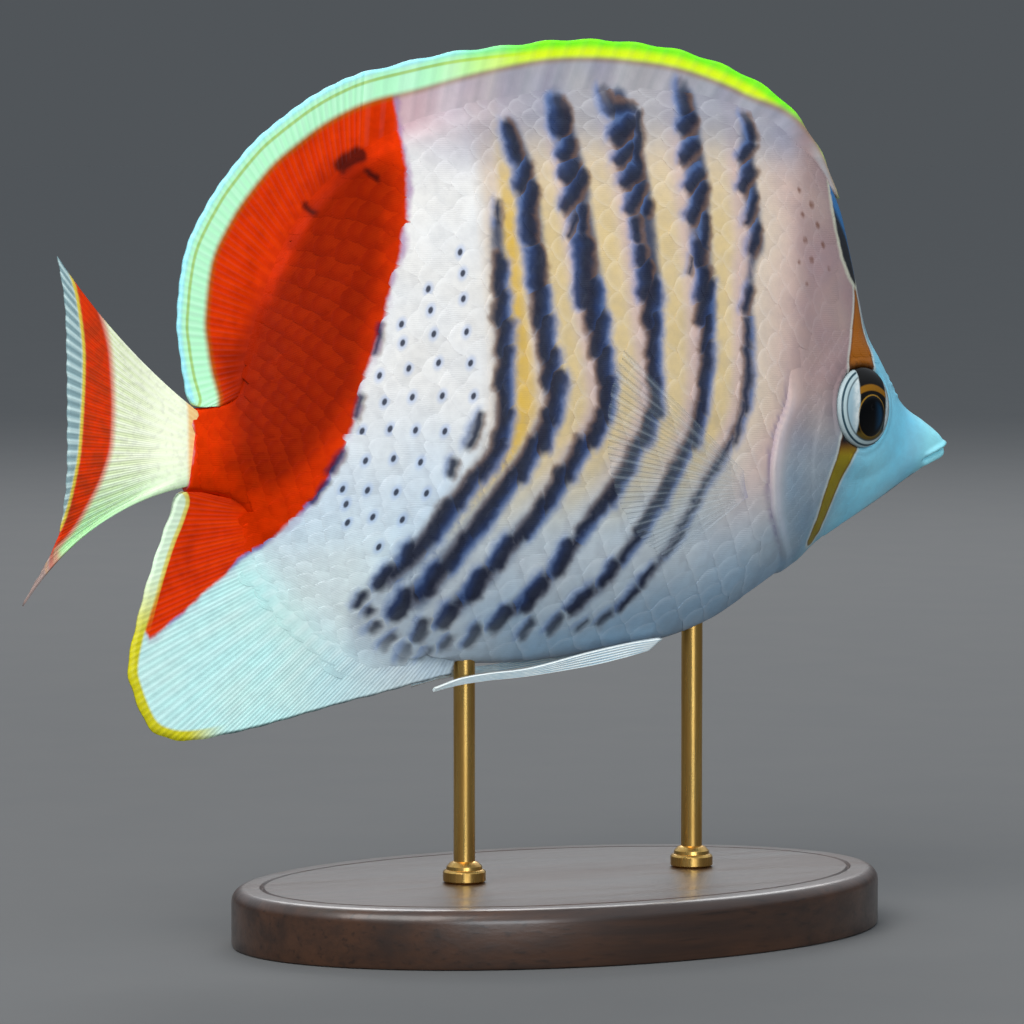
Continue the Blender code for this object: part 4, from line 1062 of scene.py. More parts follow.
def anal_paint(n):
    edge, ahead = n.value("edge"), n.value("ahead")
    rear, low = n.ramp(ahead, -44.0, -50.0), n.ramp(n.value("level"), 47.0, 38.0)
    line = (1.0 - low) * n.ramp(edge, 1.2, 1.5) * n.ramp(edge, 2.0, 1.75)
    return n.layers(body_colour(n, scaled=False), [
        (n.mix(low, ANAL_MARGIN, ANAL_CORNER), n.ramp(low * -0.5 + 1.7 - edge, -0.25, 0.2) * rear),
        (ANAL_LINE, line * rear * 0.8),
        (ANAL_HEM, n.ramp(edge, 0.42, 0.12) * n.ramp(ahead, -48.0, -44.0) * 0.75),
    ])


def caudal_paint(n):
    level, ahead, ray = n.value("level"), n.value("ahead"), n.value("ray")
    behind, crescent = n.value("behind"), n.value("red")
    return n.layers(CREAM, [
        (CAUDAL_GREEN, n.ramp(level, 60.0, 50.0)),
        (CAUDAL_STREAK, n.ramp(ray, 0.9, 0.1) * n.ramp(n.value("share"), 0.25, 0.6, 0.0, 0.30)),
        (CAUDAL_SPECKS, n.ramp(n.noise(1500, 2), 0.45, 0.7, 0.0, 0.25)),
        (CAUDAL_AMBER, n.ramp(ahead, -50.2, -49.6, 0.0, 0.7)),
        (n.mix(n.ramp(ray, 0.2, 0.9), CLEAR_GREY, CLEAR_RAY), n.ramp(behind, -0.05, 0.25)),
        (CRESCENT_GOLD, n.ramp(crescent, -0.5, -0.2) * n.ramp(behind, 0.3, 0.7)),
        (CRESCENT_ROSE, n.ramp(crescent, -0.9, 0.0) * n.ramp(behind, 0.0, -0.6)),
        (n.mix(n.ramp(n.noise(600, 3), 0.3, 0.7), RED, BRICK_RED), n.ramp(crescent, -0.15, 0.2)),
        (TIP_BROWN, n.ramp(level, 50.5, 47.0) * n.ramp(ahead, -63.0, -66.0) * 0.8),
    ])


def caudal_clear(n):
    ray = n.ramp(n.value("ray"), 0.2, 0.9, 0.42, 0.85)
    margin = n.ramp(n.value("behind"), 0.1, 0.6) * n.ramp(n.value("red"), -0.3, -0.6)
    return 1.0 - margin * (1.0 - ray)


def pelvic_paint(n):
    base = n.mix(n.ramp(n.noise(500, 3), 0.3, 0.7), PELVIC_WHITE, PELVIC_BLUE)
    return n.mix(n.ramp(n.value("ray"), 0.2, 0.9), base, PELVIC_RAY)


def pectoral_paint(n):
    base = n.mix(n.ramp(n.value("share"), 0.2, 0.0), PECTORAL_PALE, PECTORAL_MAUVE)
    return n.mix(pectoral_branches(n), base, PECTORAL_RAY)


def pectoral_clear(n):
    root = n.ramp(n.value("share"), 0.16, 0.02, 0.0, 0.7)
    ray = n.ramp(n.value("ray"), 0.5, 0.95, 0.03, 0.13)
    return n.math("MAXIMUM", n.math("MAXIMUM", root, ray), pectoral_branches(n) * 0.20)


def pectoral_branches(n):
    """Thin dark branches between the rays of the clear fin."""
    lines = n.wave("fan", PECTORAL_BRANCHES * 2 * math.pi)
    return n.ramp(lines, 0.55, 0.95) * n.ramp(n.value("share"), 0.06, 0.2)


@cache
def eye_material():
    n = Nodes("fish_eye")
    out, up, ahead, pupil = n.value("radius"), n.value("up"), n.value("forward"), n.value("pupil")
    side = ahead - up * 0.10
    band = n.ramp(side, -2.35, -2.05) * n.ramp(side, 3.3, 2.9)
    arch = up + ahead * ahead * 0.10
    gold = n.ramp(arch, 1.95, 2.15) * n.ramp(arch, 2.95, 2.7) * band
    ringed = 1.0 - band * n.ramp(up, 1.0, 3.0)
    colour = n.layers(n.mix(n.ramp(n.noise(900, 3), 0.3, 0.7), EYE_SILVER, EYE_GREY), [
        (EYE_REAR, n.ramp(ahead, -2.4, -3.6)),
        (n.mix(n.ramp(up, -2.6, -3.4), EYE_DARK, EYE_OLIVE), band),
        (EYE_ARCH, gold * 0.85),
        # gold ring round the pupil, painted brighter towards the top as a glint
        (PUPIL_RING_GLINT_GOLD, n.ramp(pupil, 0.36, 0.28) * n.ramp(up, -1.6, 1.2, 0.2, 0.9)),
        (PUPIL_BLACK, n.ramp(pupil, 0.20, 0.12)),
        # painted blue reflection in the front of the pupil
        (PUPIL_REFLECTION_BLUE, n.ramp(pupil, -0.1, -0.8) * n.ramp(ahead, 0.2, 1.9) * 0.6),
        (ORBIT_PALE, n.ramp(out, 4.05, 4.2) * ringed),
        (ORBIT_LINE, n.ramp(out, 3.95, 4.05) * n.ramp(out, 4.25, 4.15) * 0.7 * ringed),
        (ORBIT_GROOVE, n.ramp(out, 4.50, 4.60) * ringed),
        (ORBIT_RIM, n.ramp(out, 4.72, 4.80) * ringed),
    ])
    return n.finish(Base_Color=colour, Roughness=0.34, Specular_IOR_Level=0.12, Coat_Weight=0.12,
                    Coat_Roughness=0.06)


def wood_material():
    n = Nodes("dark_walnut")
    grain = n.noise(90, 4, stretch=(0.25, 2.6, 2.6), roughness=0.65)
    pores = n.noise(700, 2, stretch=(0.10, 2.4, 2.4))
    return n.finish(
        Base_Color=n.layers(WALNUT, [
            (WALNUT_DARK, n.ramp(grain, 0.3, 0.7)),
            (WALNUT_PORES, n.ramp(pores, 0.55, 0.75, 0.0, 0.6)),
        ]),
        Roughness=n.ramp(grain, 0.2, 0.8, 0.30, 0.46),
        Normal=n.bump(grain + pores, 0.05, 0.4),
        Coat_Weight=0.35,
        Coat_Roughness=0.2,
    )


@cache
def brass_material():
    n = Nodes("brushed_brass")
    brushed = n.noise(1500, 3, stretch=(1, 1, 0.06))
    return n.finish(
        Base_Color=n.mix(n.ramp(brushed, 0.3, 0.7), BRASS, BRASS_DARK),
        Metallic=1.0,
        Roughness=n.ramp(brushed, 0.3, 0.7, 0.22, 0.38),
        Normal=n.bump(brushed, 0.02, 0.4),
    )


def floor_material():
    n = Nodes("pale_floor")
    colour = n.mix(n.ramp(n.noise(60, 3), 0.3, 0.7, 0.0, 0.10), FLOOR_GREY, FLOOR_MOTTLE)
    return n.finish(Base_Color=colour, Roughness=1.0, Specular_IOR_Level=0.0)


# Skin

def skin():
    """One skin from the tail's root to the lips, over flank, gill covers and face."""
    body_x = np.arange(TAIL_END, FINER_FROM, 0.55)
    head_x = np.arange(FINER_FROM, SNOUT_TIP - 0.05, 0.21)
    stations = np.concatenate([body_x, head_x, [SNOUT_TIP - 0.02]])
    quarter = 74
    s = np.linspace(0, 1, quarter, endpoint=False)
    climb = 0.22 * s + 0.78 * np.sin(s * math.pi / 2)
    fall = np.concatenate([[1.0], climb[::-1][:-1]])
    tau = np.concatenate([climb, fall, -climb, -fall])
    side = np.concatenate([-np.ones(quarter), np.ones(2 * quarter), -np.ones(quarter)])
    side[[quarter, 3 * quarter]] = 0
    x = np.repeat(stations[:, None], len(tau), axis=1)
    top, bottom = back_and_belly(x)
    level = smooth_through(WIDEST_LEVEL, x)
    half_height = np.where(tau >= 0, top - level, level - bottom)
    z_out, z = level + half_height * tau, level + (half_height - COAT) * tau
    slope_x, slope_z = slopes_of(half_width, x, z_out)
    steepness = np.minimum(np.sqrt(1 + slope_x ** 2 + slope_z ** 2), STEEPEST)
    sunk = COAT * (1 + (steepness - 1) * smoothstep(27.0, 20.0, x))
    y = np.maximum(half_width(x, z_out) - sunk, 0) * side
    slanted = x + TAIL_SLANT * (z - TAIL_LEVEL) * smoothstep(-44.0, TAIL_END, x)
    grid = np.stack([slanted, y, z], axis=-1)
    grid = grid + grid_normals(grid, wrap=True) * relief(x, z)[..., None]
    lips = grid[-1]
    tip = lips.mean(axis=0) + (0.25, 0, 0)
    closing = [lips + (tip - lips) * share + (forward, 0, 0)
               for share, forward in ((0.35, 0.12), (0.7, 0.08))]
    points, faces = closed_tube(np.concatenate([grid, closing]), grid[0].mean(axis=0), tip)
    outwards = [group[:, ::-1] for group in faces]
    piece = mesh_piece("skin", points, outwards, fields(points[:, 0], points[:, 2]))
    piece.data.materials.append(skin_material())
    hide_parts("head", "torso", "tail_stem")
    return piece


# Scales

def column_x(column, z):
    """Where a column of scales crosses a level: upright above the middle, slanting back below it."""
    apex_x = np.interp(column, *np.array(COLUMNS, float).T)
    apex_z = np.interp(column, [0, 4], [62.3, 65.0])
    slope = np.interp(column, [-6, 0, 10, 14], [0.55, 0.80, 0.55, 0.35])
    fan = np.interp(column, [0, 4, 10], [0.0, -0.03, 0.13])
    below = np.minimum(z - apex_z, 0)
    return apex_x + slope * (below + 0.8 * np.exp(below / 0.8) - 0.8) + fan * np.maximum(z - apex_z, 0)


def scale_place(column, row):
    """The side-view place of a scale, its rows drawing together towards the tail."""
    level = row_level(row)
    x = column_x(column, level)
    for _ in range(6):
        z = TAIL_LEVEL + (level - TAIL_LEVEL) * (0.56 + 0.44 * smoothstep(-47.0, -20.0, x))
        x = column_x(column, z)
    return x, z


def has_fin(x, z):
    """True where a fin rises from the back or hangs from the belly."""
    return (x > -42.4) & np.where(z > MIDDLE, x < 33.5, x < -16.5)


def scale_reach(x, z):
    """How far out of the body's outline the scales climb on the fins."""
    reach = 2.5 + 5.0 * smoothstep(8.0, 24.0, -x) * (z < MIDDLE) - 3.7 * smoothstep(20.0, 33.0, x)
    return np.where(has_fin(x, z), reach, -0.9)


def fin_half(out):
    """Half thickness of the fins in the middle plane, by the distance out of the body."""
    out = np.maximum(out, 0)
    return 0.19 + 0.14 * np.exp(-out / 9) + 0.42 * np.exp(-out / 3)


def surface(x, z, finned):
    """A point of the right flank, or of the fins that go on from it, and its outward normal."""
    def depth(px, pz):
        out = outside(px, pz)
        fin, flank = fin_half(out), half_width(px, pz, rounded=False) - 0.7 * np.maximum(out, 0)
        share = np.clip(0.5 + (flank - fin) / (2 * MELD), 0, 1)
        melded = fin + (flank - fin) * share + MELD * share * (1 - share)
        body = half_width(px, pz)
        higher = np.maximum(body, fin)
        return np.where(finned, higher + (melded - higher) * smoothstep(33.0, 26.0, px), body)

    slope_x, slope_z = slopes_of(depth, x, z)
    normal = unit(np.stack([-slope_x, -np.ones_like(slope_x), -slope_z], axis=-1))
    return np.stack([x, -depth(x, z), z], axis=-1), normal


def scale_lattice():
    """Centre, rearward step and row spacing of every scale on one side, and whether it is on the head."""
    places = []
    for row in range(-26, 30):
        columns = np.arange(-16, 14.1, 1.0) + (0.5 if row % 2 else 0.0)
        x, z = scale_place(columns, row)
        ahead_x, ahead_z = scale_place(columns + 0.5, row)
        above_z = scale_place(columns, row + 1)[1]
        places.append(np.stack([x, z, 2 * (x - ahead_x), 2 * (z - ahead_z), above_z - z, 0 * x], axis=1))
    for row in range(-26, 36):
        x = np.arange(20.0, 48.0, HEAD_SCALE) + (HEAD_SCALE / 2 if row % 2 else 0)
        rest = [60.0 + HEAD_SCALE * 0.5 * row, -HEAD_SCALE, 0.0, HEAD_SCALE * 0.5, 1]
        places.append(np.column_stack([x, np.tile(rest, (len(x), 1))]))
    lattice = np.vstack(places)
    x, z, on_head = lattice[:, 0], lattice[:, 1], lattice[:, 5] > 0
    upper, out, ahead = z > MIDDLE, outside(x, z), x - gill_x(z)
    dorsal_edge = SPINY_DORSAL_EDGE + SOFT_DORSAL_EDGE
    to_edge = np.minimum(distance_to(x, z, dorsal_edge), distance_to(x, z, ANAL_EDGE))
    within = np.where(upper, smooth_through(SPINY_DORSAL_EDGE + SOFT_DORSAL_EDGE[:9], x) > z,
                      smooth_through(ANAL_EDGE[:10], x) < z)
    margin = np.where(upper, 4.2 + 1.6 * smoothstep(0.0, 25.0, -x), 3.8)
    keep = (out < scale_reach(x, z)) & (x > TAIL_END + 0.4) & (on_head | (ahead < 0.1) | (z > 71.0))
    keep &= (out < 0) | (within & (to_edge > margin))
    keep &= ~on_head | ((ahead > 1.25) & (z < 72.5))
    keep &= (eye_distance(x, z) > 6.6) & (x < 43.0 + 0.25 * (z - 70))
    return lattice[keep]


def scale_parts():
    """The lattice of scales in four parts, each light enough for one mesh."""
    lattice = scale_lattice()
    x, on_head = lattice[:, 0], lattice[:, 5] > 0
    parts = {"head": on_head, "rear": ~on_head & (x < -16), "middle": ~on_head & (x >= -16) & (x < 8),
             "front": ~on_head & (x >= 8)}
    return {part: lattice[chosen] for part, chosen in parts.items()}


def scale_shape():
    """Points of one scale in shares of its length and half height, root first."""
    v = np.linspace(-1, 1, len(SCALE_LENGTHS))
    u = np.repeat(np.array(SCALE_LENGTHS)[:, None], len(v), axis=1)
    return u - 0.06 * v ** 2 * (u > 0), np.array(SCALE_SPREADS)[:, None] * v


def scale_plates(lattice):
    """Side view of every scale's points, and whether they lie at a fin."""
    u, v = scale_shape()
    centre, step, spacing = np.split(lattice[:, None, None, :5], [2, 4], axis=-1)
    rear = unit(step)
    upwards = np.stack([-rear[..., 1], rear[..., 0]], axis=-1)
    wobble = 1 + 0.04 * rng.standard_normal((len(lattice), 1, 1, 1))
    plate = centre + step * u[..., None] * wobble + upwards * spacing * SCALE_OVERLAP * v[..., None]
    x, z = plate[..., 0], plate[..., 1]
    top, bottom = back_and_belly(x)
    finned = np.broadcast_to(has_fin(lattice[:, 0], lattice[:, 1])[:, None, None], x.shape)
    return x, np.where(finned, z, np.clip(z, bottom + 0.35, top - 0.35)), finned


def scale_lift(lattice, x, z, finned):
    """How far the scales' points stand out of the body."""
    u, v = scale_shape()
    head = (lattice[:, 5] > 0)[:, None, None]
    share = (u - SCALE_LENGTHS[0]) / (SCALE_LENGTHS[-1] - SCALE_LENGTHS[0])
    out = outside(x, z)
    lift = SCALE_ROOT_LIFT + (SCALE_TIP_LIFT - SCALE_ROOT_LIFT) * share - 0.015 * (share > 0.99)
    lift = lift - 0.03 * np.abs(v / np.array(SCALE_SPREADS)[:, None]) ** 4
    lift = lift - 0.035 * share * smoothstep(18.0, 28.0, -x)
    lift = lift + 0.012 * rng.standard_normal((len(lattice), 1, 1)) * share
    lift = lift + (SCALE_FLAT_LIFT - lift) * np.maximum(head * 0.45, 0.6 * smoothstep(24.0, 33.0, x))
    lift = lift - finned * 0.17 * smoothstep(-3.5, 0.5, out - scale_reach(x, z)) * smoothstep(-0.5, 1.5, out)
    lift = lift + head * (cover_relief(x, z) - 0.12 * smoothstep(3.5, 1.0, x - gill_x(z)))
    return lift + 0.05 * bump_at(distance_to(x, z, LATERAL_LINE, 60), 0.0, 0.45)


def scales(side, part, lattice):
    """Scales of one side as closed plates, tipped up a little at their free rear edges."""
    count, (u, v) = len(lattice), scale_shape()
    x, z, finned = scale_plates(lattice)
    point, normal = surface(x, z, finned)
    lift = scale_lift(lattice, x, z, finned)[..., None]
    loop = border(*u.shape)
    below = np.append(loop, u.size // 2)
    upper, under = point + normal * lift, point + normal * (lift - SCALE_THICKNESS)
    points = np.concatenate([upper.reshape(count, -1, 3), under.reshape(count, -1, 3)[:, below]], axis=1)
    points[..., 1] *= -SIDES[side]
    per = points.shape[1]
    lower = u.size + np.arange(len(loop))
    middle = np.full(len(loop), per - 1)
    underside = np.stack([lower, middle, np.roll(lower, -1)], axis=1)
    faces = [grid_faces(*u.shape), rim_faces(loop, lower), underside]
    shift = (np.arange(count) * per)[:, None, None]
    faces = [(group[:, ::SIDES[side]] + shift).reshape(-1, group.shape[1]) for group in faces]
    local_u, local_v = [np.tile(np.append(a, a.ravel()[below]), (count, 1)) for a in (u, v)]
    values = scale_values(lattice, points, local_u, local_v)
    piece = mesh_piece(f"scales_{part}_{side}", points.reshape(-1, 3), faces, values, smooth_angle=50)
    piece.data.materials.append(scale_material())
    unwrap(piece, side, lattice, local_u, local_v)
    return piece


def scale_values(lattice, points, local_u, local_v):
    """What the scales' material knows of each point: markings, nearest dot and blotches, place on it."""
    seen = lattice[:, :2] + lattice[:, 2:4] * 0.1
    gaps = np.linalg.norm(seen[:, None] - np.array(DOTS), axis=-1)
    dot = np.array(DOTS)[np.argmin(gaps, axis=1)]
    head_share = np.maximum(lattice[:, 5], smoothstep(24, 33, lattice[:, 0]))
    own = {
        "red_own": polygon_field(seen[:, 0], seen[:, 1], RED_PATCH),
        # how strongly the painted highlight on the scales' rims and the painted shade at their roots show
        "scale_shading": 0.10 * (1 - 0.7 * head_share),
        "own": rng.random(len(lattice)),
    }
    values = {
        "su": local_u * np.linalg.norm(lattice[:, 2:4], axis=1)[:, None],
        "sv": local_v * lattice[:, 4:5] * SCALE_OVERLAP,
        "rim": np.hypot(np.maximum(local_u, 0) / SCALE_LENGTHS[-1], np.abs(local_v) * (local_u > 0)),
        "dot_x": points[..., 0] - dot[:, :1],
        "dot_z": points[..., 2] - dot[:, 1:],
    }
    for key, value in (own | known_blotches(seen)).items():
        values[key] = np.repeat(value, points.shape[1], axis=0)
    return values | fields(points[..., 0], points[..., 2], blotches=False)


def unwrap(piece, side, lattice, local_u, local_v):
    """Gives each scale a small patch at its root's place on the unrolled skin."""
    x, z = lattice[:, 0], lattice[:, 1]
    level = smooth_through(WIDEST_LEVEL, x)
    top, bottom = back_and_belly(x)
    turn = 0.25 + 0.24 * (z - level) / np.where(z >= level, top - level, level - bottom)
    lengthwise = 0.02 + 0.96 * (x - TAIL_END) / (SNOUT_TIP - TAIL_END)
    centre = np.stack([lengthwise, turn if side == "right" else 1 - turn], axis=1)
    patch = np.stack([local_u / 0.85, local_v], axis=-1) * PATCH_SIZE
    uv = (centre[:, None] + patch).reshape(-1, 2)
    mesh = piece.data
    index = np.empty(len(mesh.loops), np.int32)
    mesh.loops.foreach_get("vertex_index", index)
    layer = mesh.uv_layers.new(name="OFBake")
    layer.data.foreach_set("uv", uv[index].astype(np.float32).ravel())


# Fins

def ray_profile(per, rays, rows, split=0.55):
    """How much of a ray stands at each grid point, with so many columns to a ray: 1 on a ray, 0 between two.
    Each ray forks once, from that share of its length."""
    position = np.arange((rays - 1) * per + 1) / per
    once = np.cos(math.pi * position) ** 2
    twice = np.cos(2 * math.pi * (position - 0.25)) ** 2
    forked = smoothstep(split, split + 0.25, np.linspace(0, 1, rows)[:, None])
    return once * (1 - forked) + twice * forked


def sheet(name, grid, half, values, material, *nodes):
    """A thin closed fin: the grid of its middle surface, given a half thickness on both sides."""
    rows, columns = grid.shape[:2]
    offset = grid_normals(grid) * half[..., None]
    points = np.vstack([(grid + offset).reshape(-1, 3), (grid - offset).reshape(-1, 3)])
    front, back = grid_faces(rows, columns), grid_faces(rows, columns, start=rows * columns)
    loop = border(rows, columns)
    rim = rim_faces(loop, loop + rows * columns)
    doubled = {key: np.stack([value, value]) for key, value in values.items()}
    piece = mesh_piece(name, points, [front[:, ::-1], back, rim[:, ::-1]], doubled)
    piece.data.materials.append(material)
    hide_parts(*nodes)
    return piece


def fan_grid(roots, tips, rows, sink, notch, bend=0.0):
    """Side-view grid of a fin from its root line to its free edge, with its roots sunk into the body."""
    span = tips - roots
    lengths = np.linalg.norm(span, axis=1, keepdims=True)
    start = roots - span / lengths * sink
    share = np.linspace(0, 1, rows)[:, None, None]
    across = np.stack([span[:, 1], -span[:, 0]], axis=1) * np.reshape(bend, (-1, 1))
    return start + (tips - start) * share * (1 - notch[:, None] / lengths) + across * share * (1 - share)


def fin_values(flat, ray):
    """What a fin's material knows of each point: its place, its ray, and how far out and across it lies."""
    rows, columns = ray.shape
    share = np.broadcast_to(np.linspace(0, 1, rows)[:, None], ray.shape)
    return {
        "ray": ray,
        "share": share,
        "fan": np.broadcast_to(np.linspace(0, 1, columns), ray.shape),
        "joint": np.sin(share * 160) * ray,
        "ahead": flat[..., 0],
        "level": flat[..., 1],
        "red": np.full(ray.shape, OFF),
    }


def membrane_half(flat, ray, groove):
    """Half thickness of the dorsal and anal fins, thinner between the rays."""
    out = outside(flat[..., 0], flat[..., 1])
    return fin_half(out) - 0.17 * smoothstep(13.0, 6.0, out) - groove * (1 - ray) * smoothstep(1.0, 8.0, out)


def root_line(edge, inset, start, end, count):
    """Points along the back or the belly, set a little into the body."""
    x = np.linspace(start, end, 30)
    return along(np.stack([x, smooth_through(edge, x) + inset], axis=1), count)


def upright(flat, y=0.0):
    return np.stack([flat[..., 0], np.broadcast_to(y, flat.shape[:2]), flat[..., 1]], axis=-1)


def dorsal():
    per, rows = 6, 30
    spiny, soft = ray_profile(per, DORSAL_SPINES, rows, UNFORKED), ray_profile(per, DORSAL_RAYS, rows)
    front, rear = spiny.shape[1], soft.shape[1]
    roots = np.vstack([root_line(BACK, -KEEL, 37.7, -27.0, front),
                       root_line(BACK, -KEEL, -27.2, -43.2, rear)])
    tips = np.vstack([along(SPINY_DORSAL_EDGE, front), along(SOFT_DORSAL_EDGE, rear)])
    ray = np.concatenate([spiny, soft], axis=1)
    notch = np.concatenate([0.22 * (1 - spiny[0]), 0.08 * (1 - soft[0])])
    flat = fan_grid(roots, tips, rows, ROOT_SINK, notch)
    x, z = flat[..., 0], flat[..., 1]
    values = fin_values(flat, ray) | fields(x, z)
    values["edge"] = distance_to(x, z, SPINY_DORSAL_EDGE + SOFT_DORSAL_EDGE[1:-2])
    values["crown"] = np.full(x.shape, OFF)
    return sheet("dorsal_fin", upright(flat), membrane_half(flat, ray, 0.03), values,
                 fin_material("dorsal_fin_skin", dorsal_paint), "dorsal_fin_spiny", "dorsal_fin_soft")


def anal():
    per, rows = 6, 30
    ray = ray_profile(per, ANAL_RAYS, rows)
    columns = ray.shape[1]
    roots, tips = root_line(BELLY, KEEL, -14.5, -43.2, columns), along(ANAL_EDGE, columns)
    flat = fan_grid(roots, tips, rows, ROOT_SINK, 0.15 * (1 - ray[0]))
    x, z = flat[..., 0], flat[..., 1]
    values = fin_values(flat, ray) | fields(x, z)
    values["edge"] = distance_to(x, z, ANAL_EDGE[:-2])
    return sheet("anal_fin_rayed", upright(flat), membrane_half(flat, ray, 0.02), values,
                 fin_material("anal_fin_skin", anal_paint), "anal_fin")


def caudal():
    per, rows = 8, 40
    ray = ray_profile(per, CAUDAL_RAYS, rows, split=0.4)
    columns = ray.shape[1]
    roots, tips = along(CAUDAL_ROOT, columns), along(CAUDAL_EDGE, columns)
    across, share = np.linspace(0, 1, columns), np.linspace(0, 1, rows)[:, None]
    bend = 0.48 * smoothstep(0.7, 1.0, across) - 0.16 * smoothstep(0.3, 0.0, across)
    flat = fan_grid(roots, tips, rows, 0.8, 0.12 * (1 - ray[0]), bend)
    fleshy = smoothstep(0.42, 0, share) * np.sqrt(np.sqrt(1 - (2 * across - 1) ** 4))
    half = 0.32 - 0.17 * share + 0.95 * fleshy - 0.06 * (1 - ray) * smoothstep(0.2, 0.6, share)
    x, z = flat[..., 0], flat[..., 1]
    rear, front = smooth_through(TAIL_CRESCENT_REAR, z), smooth_through(TAIL_CRESCENT_FRONT, z)
    values = fin_values(flat, ray)
    values["red"] = np.minimum(x - rear, front - x)
    values["behind"] = (rear + front) / 2 - x
    curl = 3.0 * share ** 2 * smoothstep(0.55, 1.0, across)
    return sheet("caudal_fin_rayed", upright(flat, curl), half, values,
                 fin_material("caudal_fin_skin", caudal_paint, caudal_clear), "caudal_fin")


def pectoral(side):
    per, rows = 8, 26
    ray = ray_profile(per, PECTORAL_RAYS, rows, split=0.5)
    share, row = np.linspace(0, 1, ray.shape[1]), np.linspace(0, 1, rows)[:, None]
    angles = np.radians(PECTORAL_ANGLES[0] + (PECTORAL_ANGLES[1] - PECTORAL_ANGLES[0]) * share)
    lengths = PECTORAL_LENGTHS[0] + (PECTORAL_LENGTHS[1] - PECTORAL_LENGTHS[0]) * share ** 1.6
    flare = math.radians(PECTORAL_FLARE)
    down = (share - 0.5) * PECTORAL_ROOT_SPAN
    roots = np.stack([PECTORAL_ROOT[0] - 0.4 * down, PECTORAL_ROOT[1] - down], axis=1)
    tips = roots + np.stack([np.cos(angles), np.sin(angles)], axis=1) * (lengths * math.cos(flare))[:, None]
    flat = fan_grid(roots, tips, rows, 1.4, 0.25 * (1 - ray[0]))
    behind = np.maximum(PECTORAL_ROOT[0] - flat[..., 0], -2.0)
    out = half_width(*PECTORAL_ROOT) - 0.6 + behind * math.tan(flare) + 1.2 * row * (1 - row)
    half = 0.40 - 0.27 * row ** 0.5 - 0.06 * (1 - ray) * smoothstep(0.05, 0.3, row)
    return sheet(f"pectoral_{side}", upright(flat, SIDES[side] * out), half, fin_values(flat, ray),
                 fin_material("pectoral_skin", pectoral_paint, pectoral_clear), f"pectoral_fin_{side}")


def pelvic(side):
    rays, per, rows = 6, 6, 60
    ray = ray_profile(per, rays, rows, UNFORKED)
    top, bottom = along(PELVIC_TOP, rows)[:, None], along(PELVIC_BOTTOM, rows)[:, None]
    across, row = np.linspace(0, 1, ray.shape[1]), np.linspace(0, 1, rows)[:, None]
    flat = top + (bottom - top) * across[:, None]
    out = PELVIC_OUT + 0.5 * np.sin(math.pi * row) + 0.3 * (0.5 - across)
    half = 0.36 - 0.18 * row - 0.10 * (1 - ray) * smoothstep(0.03, 0.15, row)
    return sheet(f"pelvic_{side}", upright(flat, SIDES[side] * out), half, fin_values(flat, ray),
                 fin_material("pelvic_skin", pelvic_paint), f"pelvic_fin_{side}")


# Eyes

def eye(side):
    """A glossy ball set in the orbit: pupil with a painted blue reflection, a gold ring round it painted
    brighter towards the top as a glint, silver iris and the dark band that crosses it.
    """
    sign = SIDES[side]
    outward = unit(np.array([EYE_TURN_FORWARD, sign, EYE_TURN_UP]))
    forward = unit(np.array([1.0, 0, 0]) - outward * outward[0])
    up = np.cross(forward, outward) * sign
    centre = np.array([EYE_AT[0], sign * EYE_AT[1], EYE_AT[2]])
    around, down = 96, 60
    turn = np.arange(around) * 2 * math.pi / around
    lean = np.linspace(0, math.pi, down)[1:-1, None]
    ring, depth = np.sin(lean) * (EYE_RADIUS - 0.06), np.cos(lean)
    a, b = ring * np.cos(turn), ring * np.sin(turn)
    from_pupil = np.hypot(a - PUPIL_AT[0], b - PUPIL_AT[1])
    cornea = 0.10 * smoothstep(2.7, 2.2, from_pupil)
    height = np.where(depth > 0, depth * EYE_DOME + cornea, depth * EYE_DEPTH)
    grid = centre + a[..., None] * forward + b[..., None] * up + height[..., None] * outward
    points, faces = closed_tube(grid, centre + outward * EYE_DOME, centre - outward * EYE_DEPTH)
    ahead, high = (points - centre) @ forward, (points - centre) @ up
    values = {
        "radius": np.hypot(ahead, high),
        "up": high,
        "forward": ahead,
        "pupil": np.hypot(ahead - PUPIL_AT[0], high - PUPIL_AT[1]) - PUPIL_RADIUS,
    }
    piece = mesh_piece(f"eye_{side}_ball", points, [group[:, ::sign] for group in faces], values)
    piece.data.materials.append(eye_material())
    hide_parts(f"eye_{side}")
    return piece


# Stand, light and camera

def turned(name, profile, centre_x, material, node, around):
    """A turned solid about an upright axis, its profile given as (half length, half width, level)."""
    turn = np.arange(around) * 2 * math.pi / around
    rings = np.array([[(centre_x + a * math.cos(w), b * math.sin(w), z) for w in turn]
                      for a, b, z in profile])
    points, faces = closed_tube(rings, (centre_x, 0, profile[0][2]), (centre_x, 0, profile[-1][2]))
    piece = mesh_piece(name, points, faces, smooth_angle=32)
    piece.data.materials.append(material)
    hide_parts(node)
    return piece


def stand():
    """An oval plinth with a rounded upper edge, and two rods in ferrules that carry the fish."""
    length, width, height = BASE_SIZE
    outline = [(0.5, 0.0), (0.12, 0.14), (0.0, 0.5)]
    outline += [(BASE_EDGE * (1 - math.cos(angle)), height - BASE_EDGE * (1 - math.sin(angle)))
                for angle in np.linspace(0, math.pi / 2, 9)]
    outline += [(3.4, height), (3.7, height - 0.25), (4.0, height)]
    profile = [(length / 2 - inset, width / 2 - inset, z) for inset, z in outline]
    pieces = [turned("plinth", profile, 0.0, wood_material(), "stand_base", 180)]
    for node, x in RODS:
        rings = [(radius, radius, height + lift) for radius, lift in FERRULE]
        rings.append((ROD_RADIUS, ROD_RADIUS, float(smooth_through(BELLY, x)) + ROD_SINK))
        pieces.append(turned(node + "_brass", rings, x, brass_material(), node, 48))
    return pieces


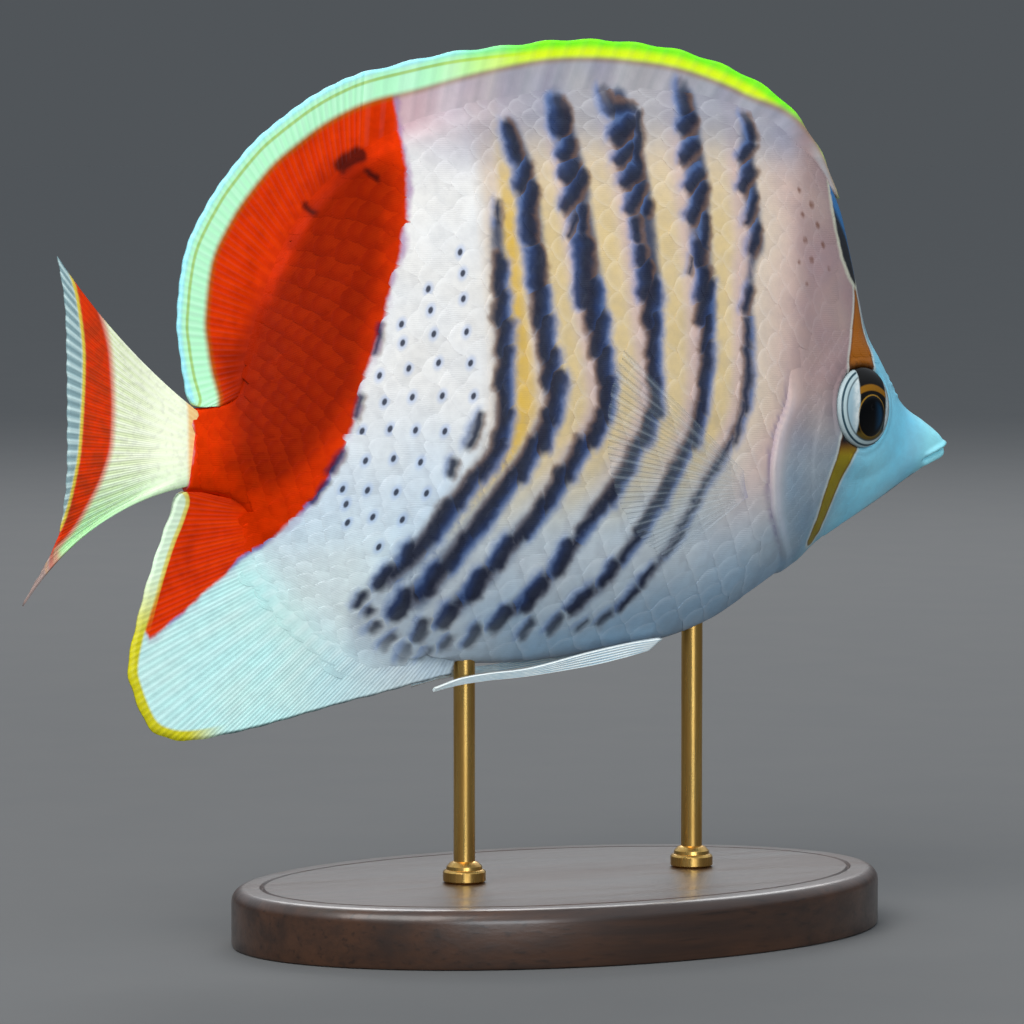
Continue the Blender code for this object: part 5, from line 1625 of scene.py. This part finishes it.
def direction(azimuth, elevation):
    """Unit vector from the object towards a viewer at that azimuth and elevation."""
    a, e = math.radians(azimuth), math.radians(elevation)
    return Vector((math.sin(a) * math.cos(e), -math.cos(a) * math.cos(e), math.sin(e)))


def studio():
    """A wide floor, a sky that brightens upwards, and three soft lamps."""
    turn = np.linspace(0, 2 * math.pi, 96, endpoint=False)
    ring = np.stack([np.cos(turn), np.sin(turn), 0 * turn], axis=-1)
    points = np.vstack([ring * FLOOR_RADIUS, [(0, 0, 0)]])
    index = np.arange(len(turn))
    faces = [np.stack([index, np.roll(index, -1), np.full(len(turn), len(turn))], axis=1)]
    floor = mesh_piece("floor", points, faces)
    floor.data.materials.append(floor_material())
    sky()
    for name, azimuth, elevation, distance, width, power, colour in LAMPS:
        lamp = bpy.data.lights.new(name, "AREA")
        lamp.size = width
        lamp.energy = power
        lamp.color = colour
        obj = bpy.data.objects.new(name, lamp)
        bpy.context.scene.collection.objects.link(obj)
        obj.location = direction(azimuth, elevation) * distance + Vector((0, 0, LAMP_AIM))
        obj.rotation_euler = direction(azimuth, elevation).to_track_quat("Z", "Y").to_euler()


def sky():
    world = bpy.data.worlds.new("studio")
    bpy.context.scene.world = world
    world.use_nodes = True
    nodes, links = world.node_tree.nodes, world.node_tree.links
    place, parts = nodes.new("ShaderNodeTexCoord"), nodes.new("ShaderNodeSeparateXYZ")
    climb = nodes.new("ShaderNodeMapRange")
    climb.interpolation_type = "SMOOTHSTEP"
    for socket, number in zip(climb.inputs[1:5], (SKY_CLIMB_START, SKY_CLIMB_END, SKY_LOW, SKY_HIGH)):
        socket.default_value = number
    links.new(place.outputs["Generated"], parts.inputs[0])
    links.new(parts.outputs["Z"], climb.inputs[0])
    glow = nodes["Background"]
    glow.inputs["Color"].default_value = (*SKY_COLOUR, 1)
    links.new(climb.outputs[0], glow.inputs["Strength"])


def camera():
    lens = bpy.data.cameras.new("view")
    lens.lens, lens.sensor_width = VIEW_LENS, VIEW_SENSOR
    lens.clip_start = 0.01
    obj = bpy.data.objects.new("view", lens)
    bpy.context.scene.collection.objects.link(obj)
    back = direction(VIEW_AZIMUTH, VIEW_ELEVATION)
    obj.location = Vector(VIEW_CENTRE) * MM + back * VIEW_DISTANCE * MM
    obj.rotation_euler = back.to_track_quat("Z", "Y").to_euler()
    bpy.context.scene.camera = obj
    bpy.context.scene.view_settings.view_transform = "Standard"


def main():
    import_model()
    camera()
    pieces = [skin(), dorsal(), anal(), caudal()]
    parts = scale_parts()
    pieces += [scales(side, part, lattice) for side in SIDES for part, lattice in parts.items()]
    for side in SIDES:
        pieces += [pectoral(side), pelvic(side), eye(side)]
    pieces += stand()
    for piece in pieces:
        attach(piece, "root")
    studio()


main()
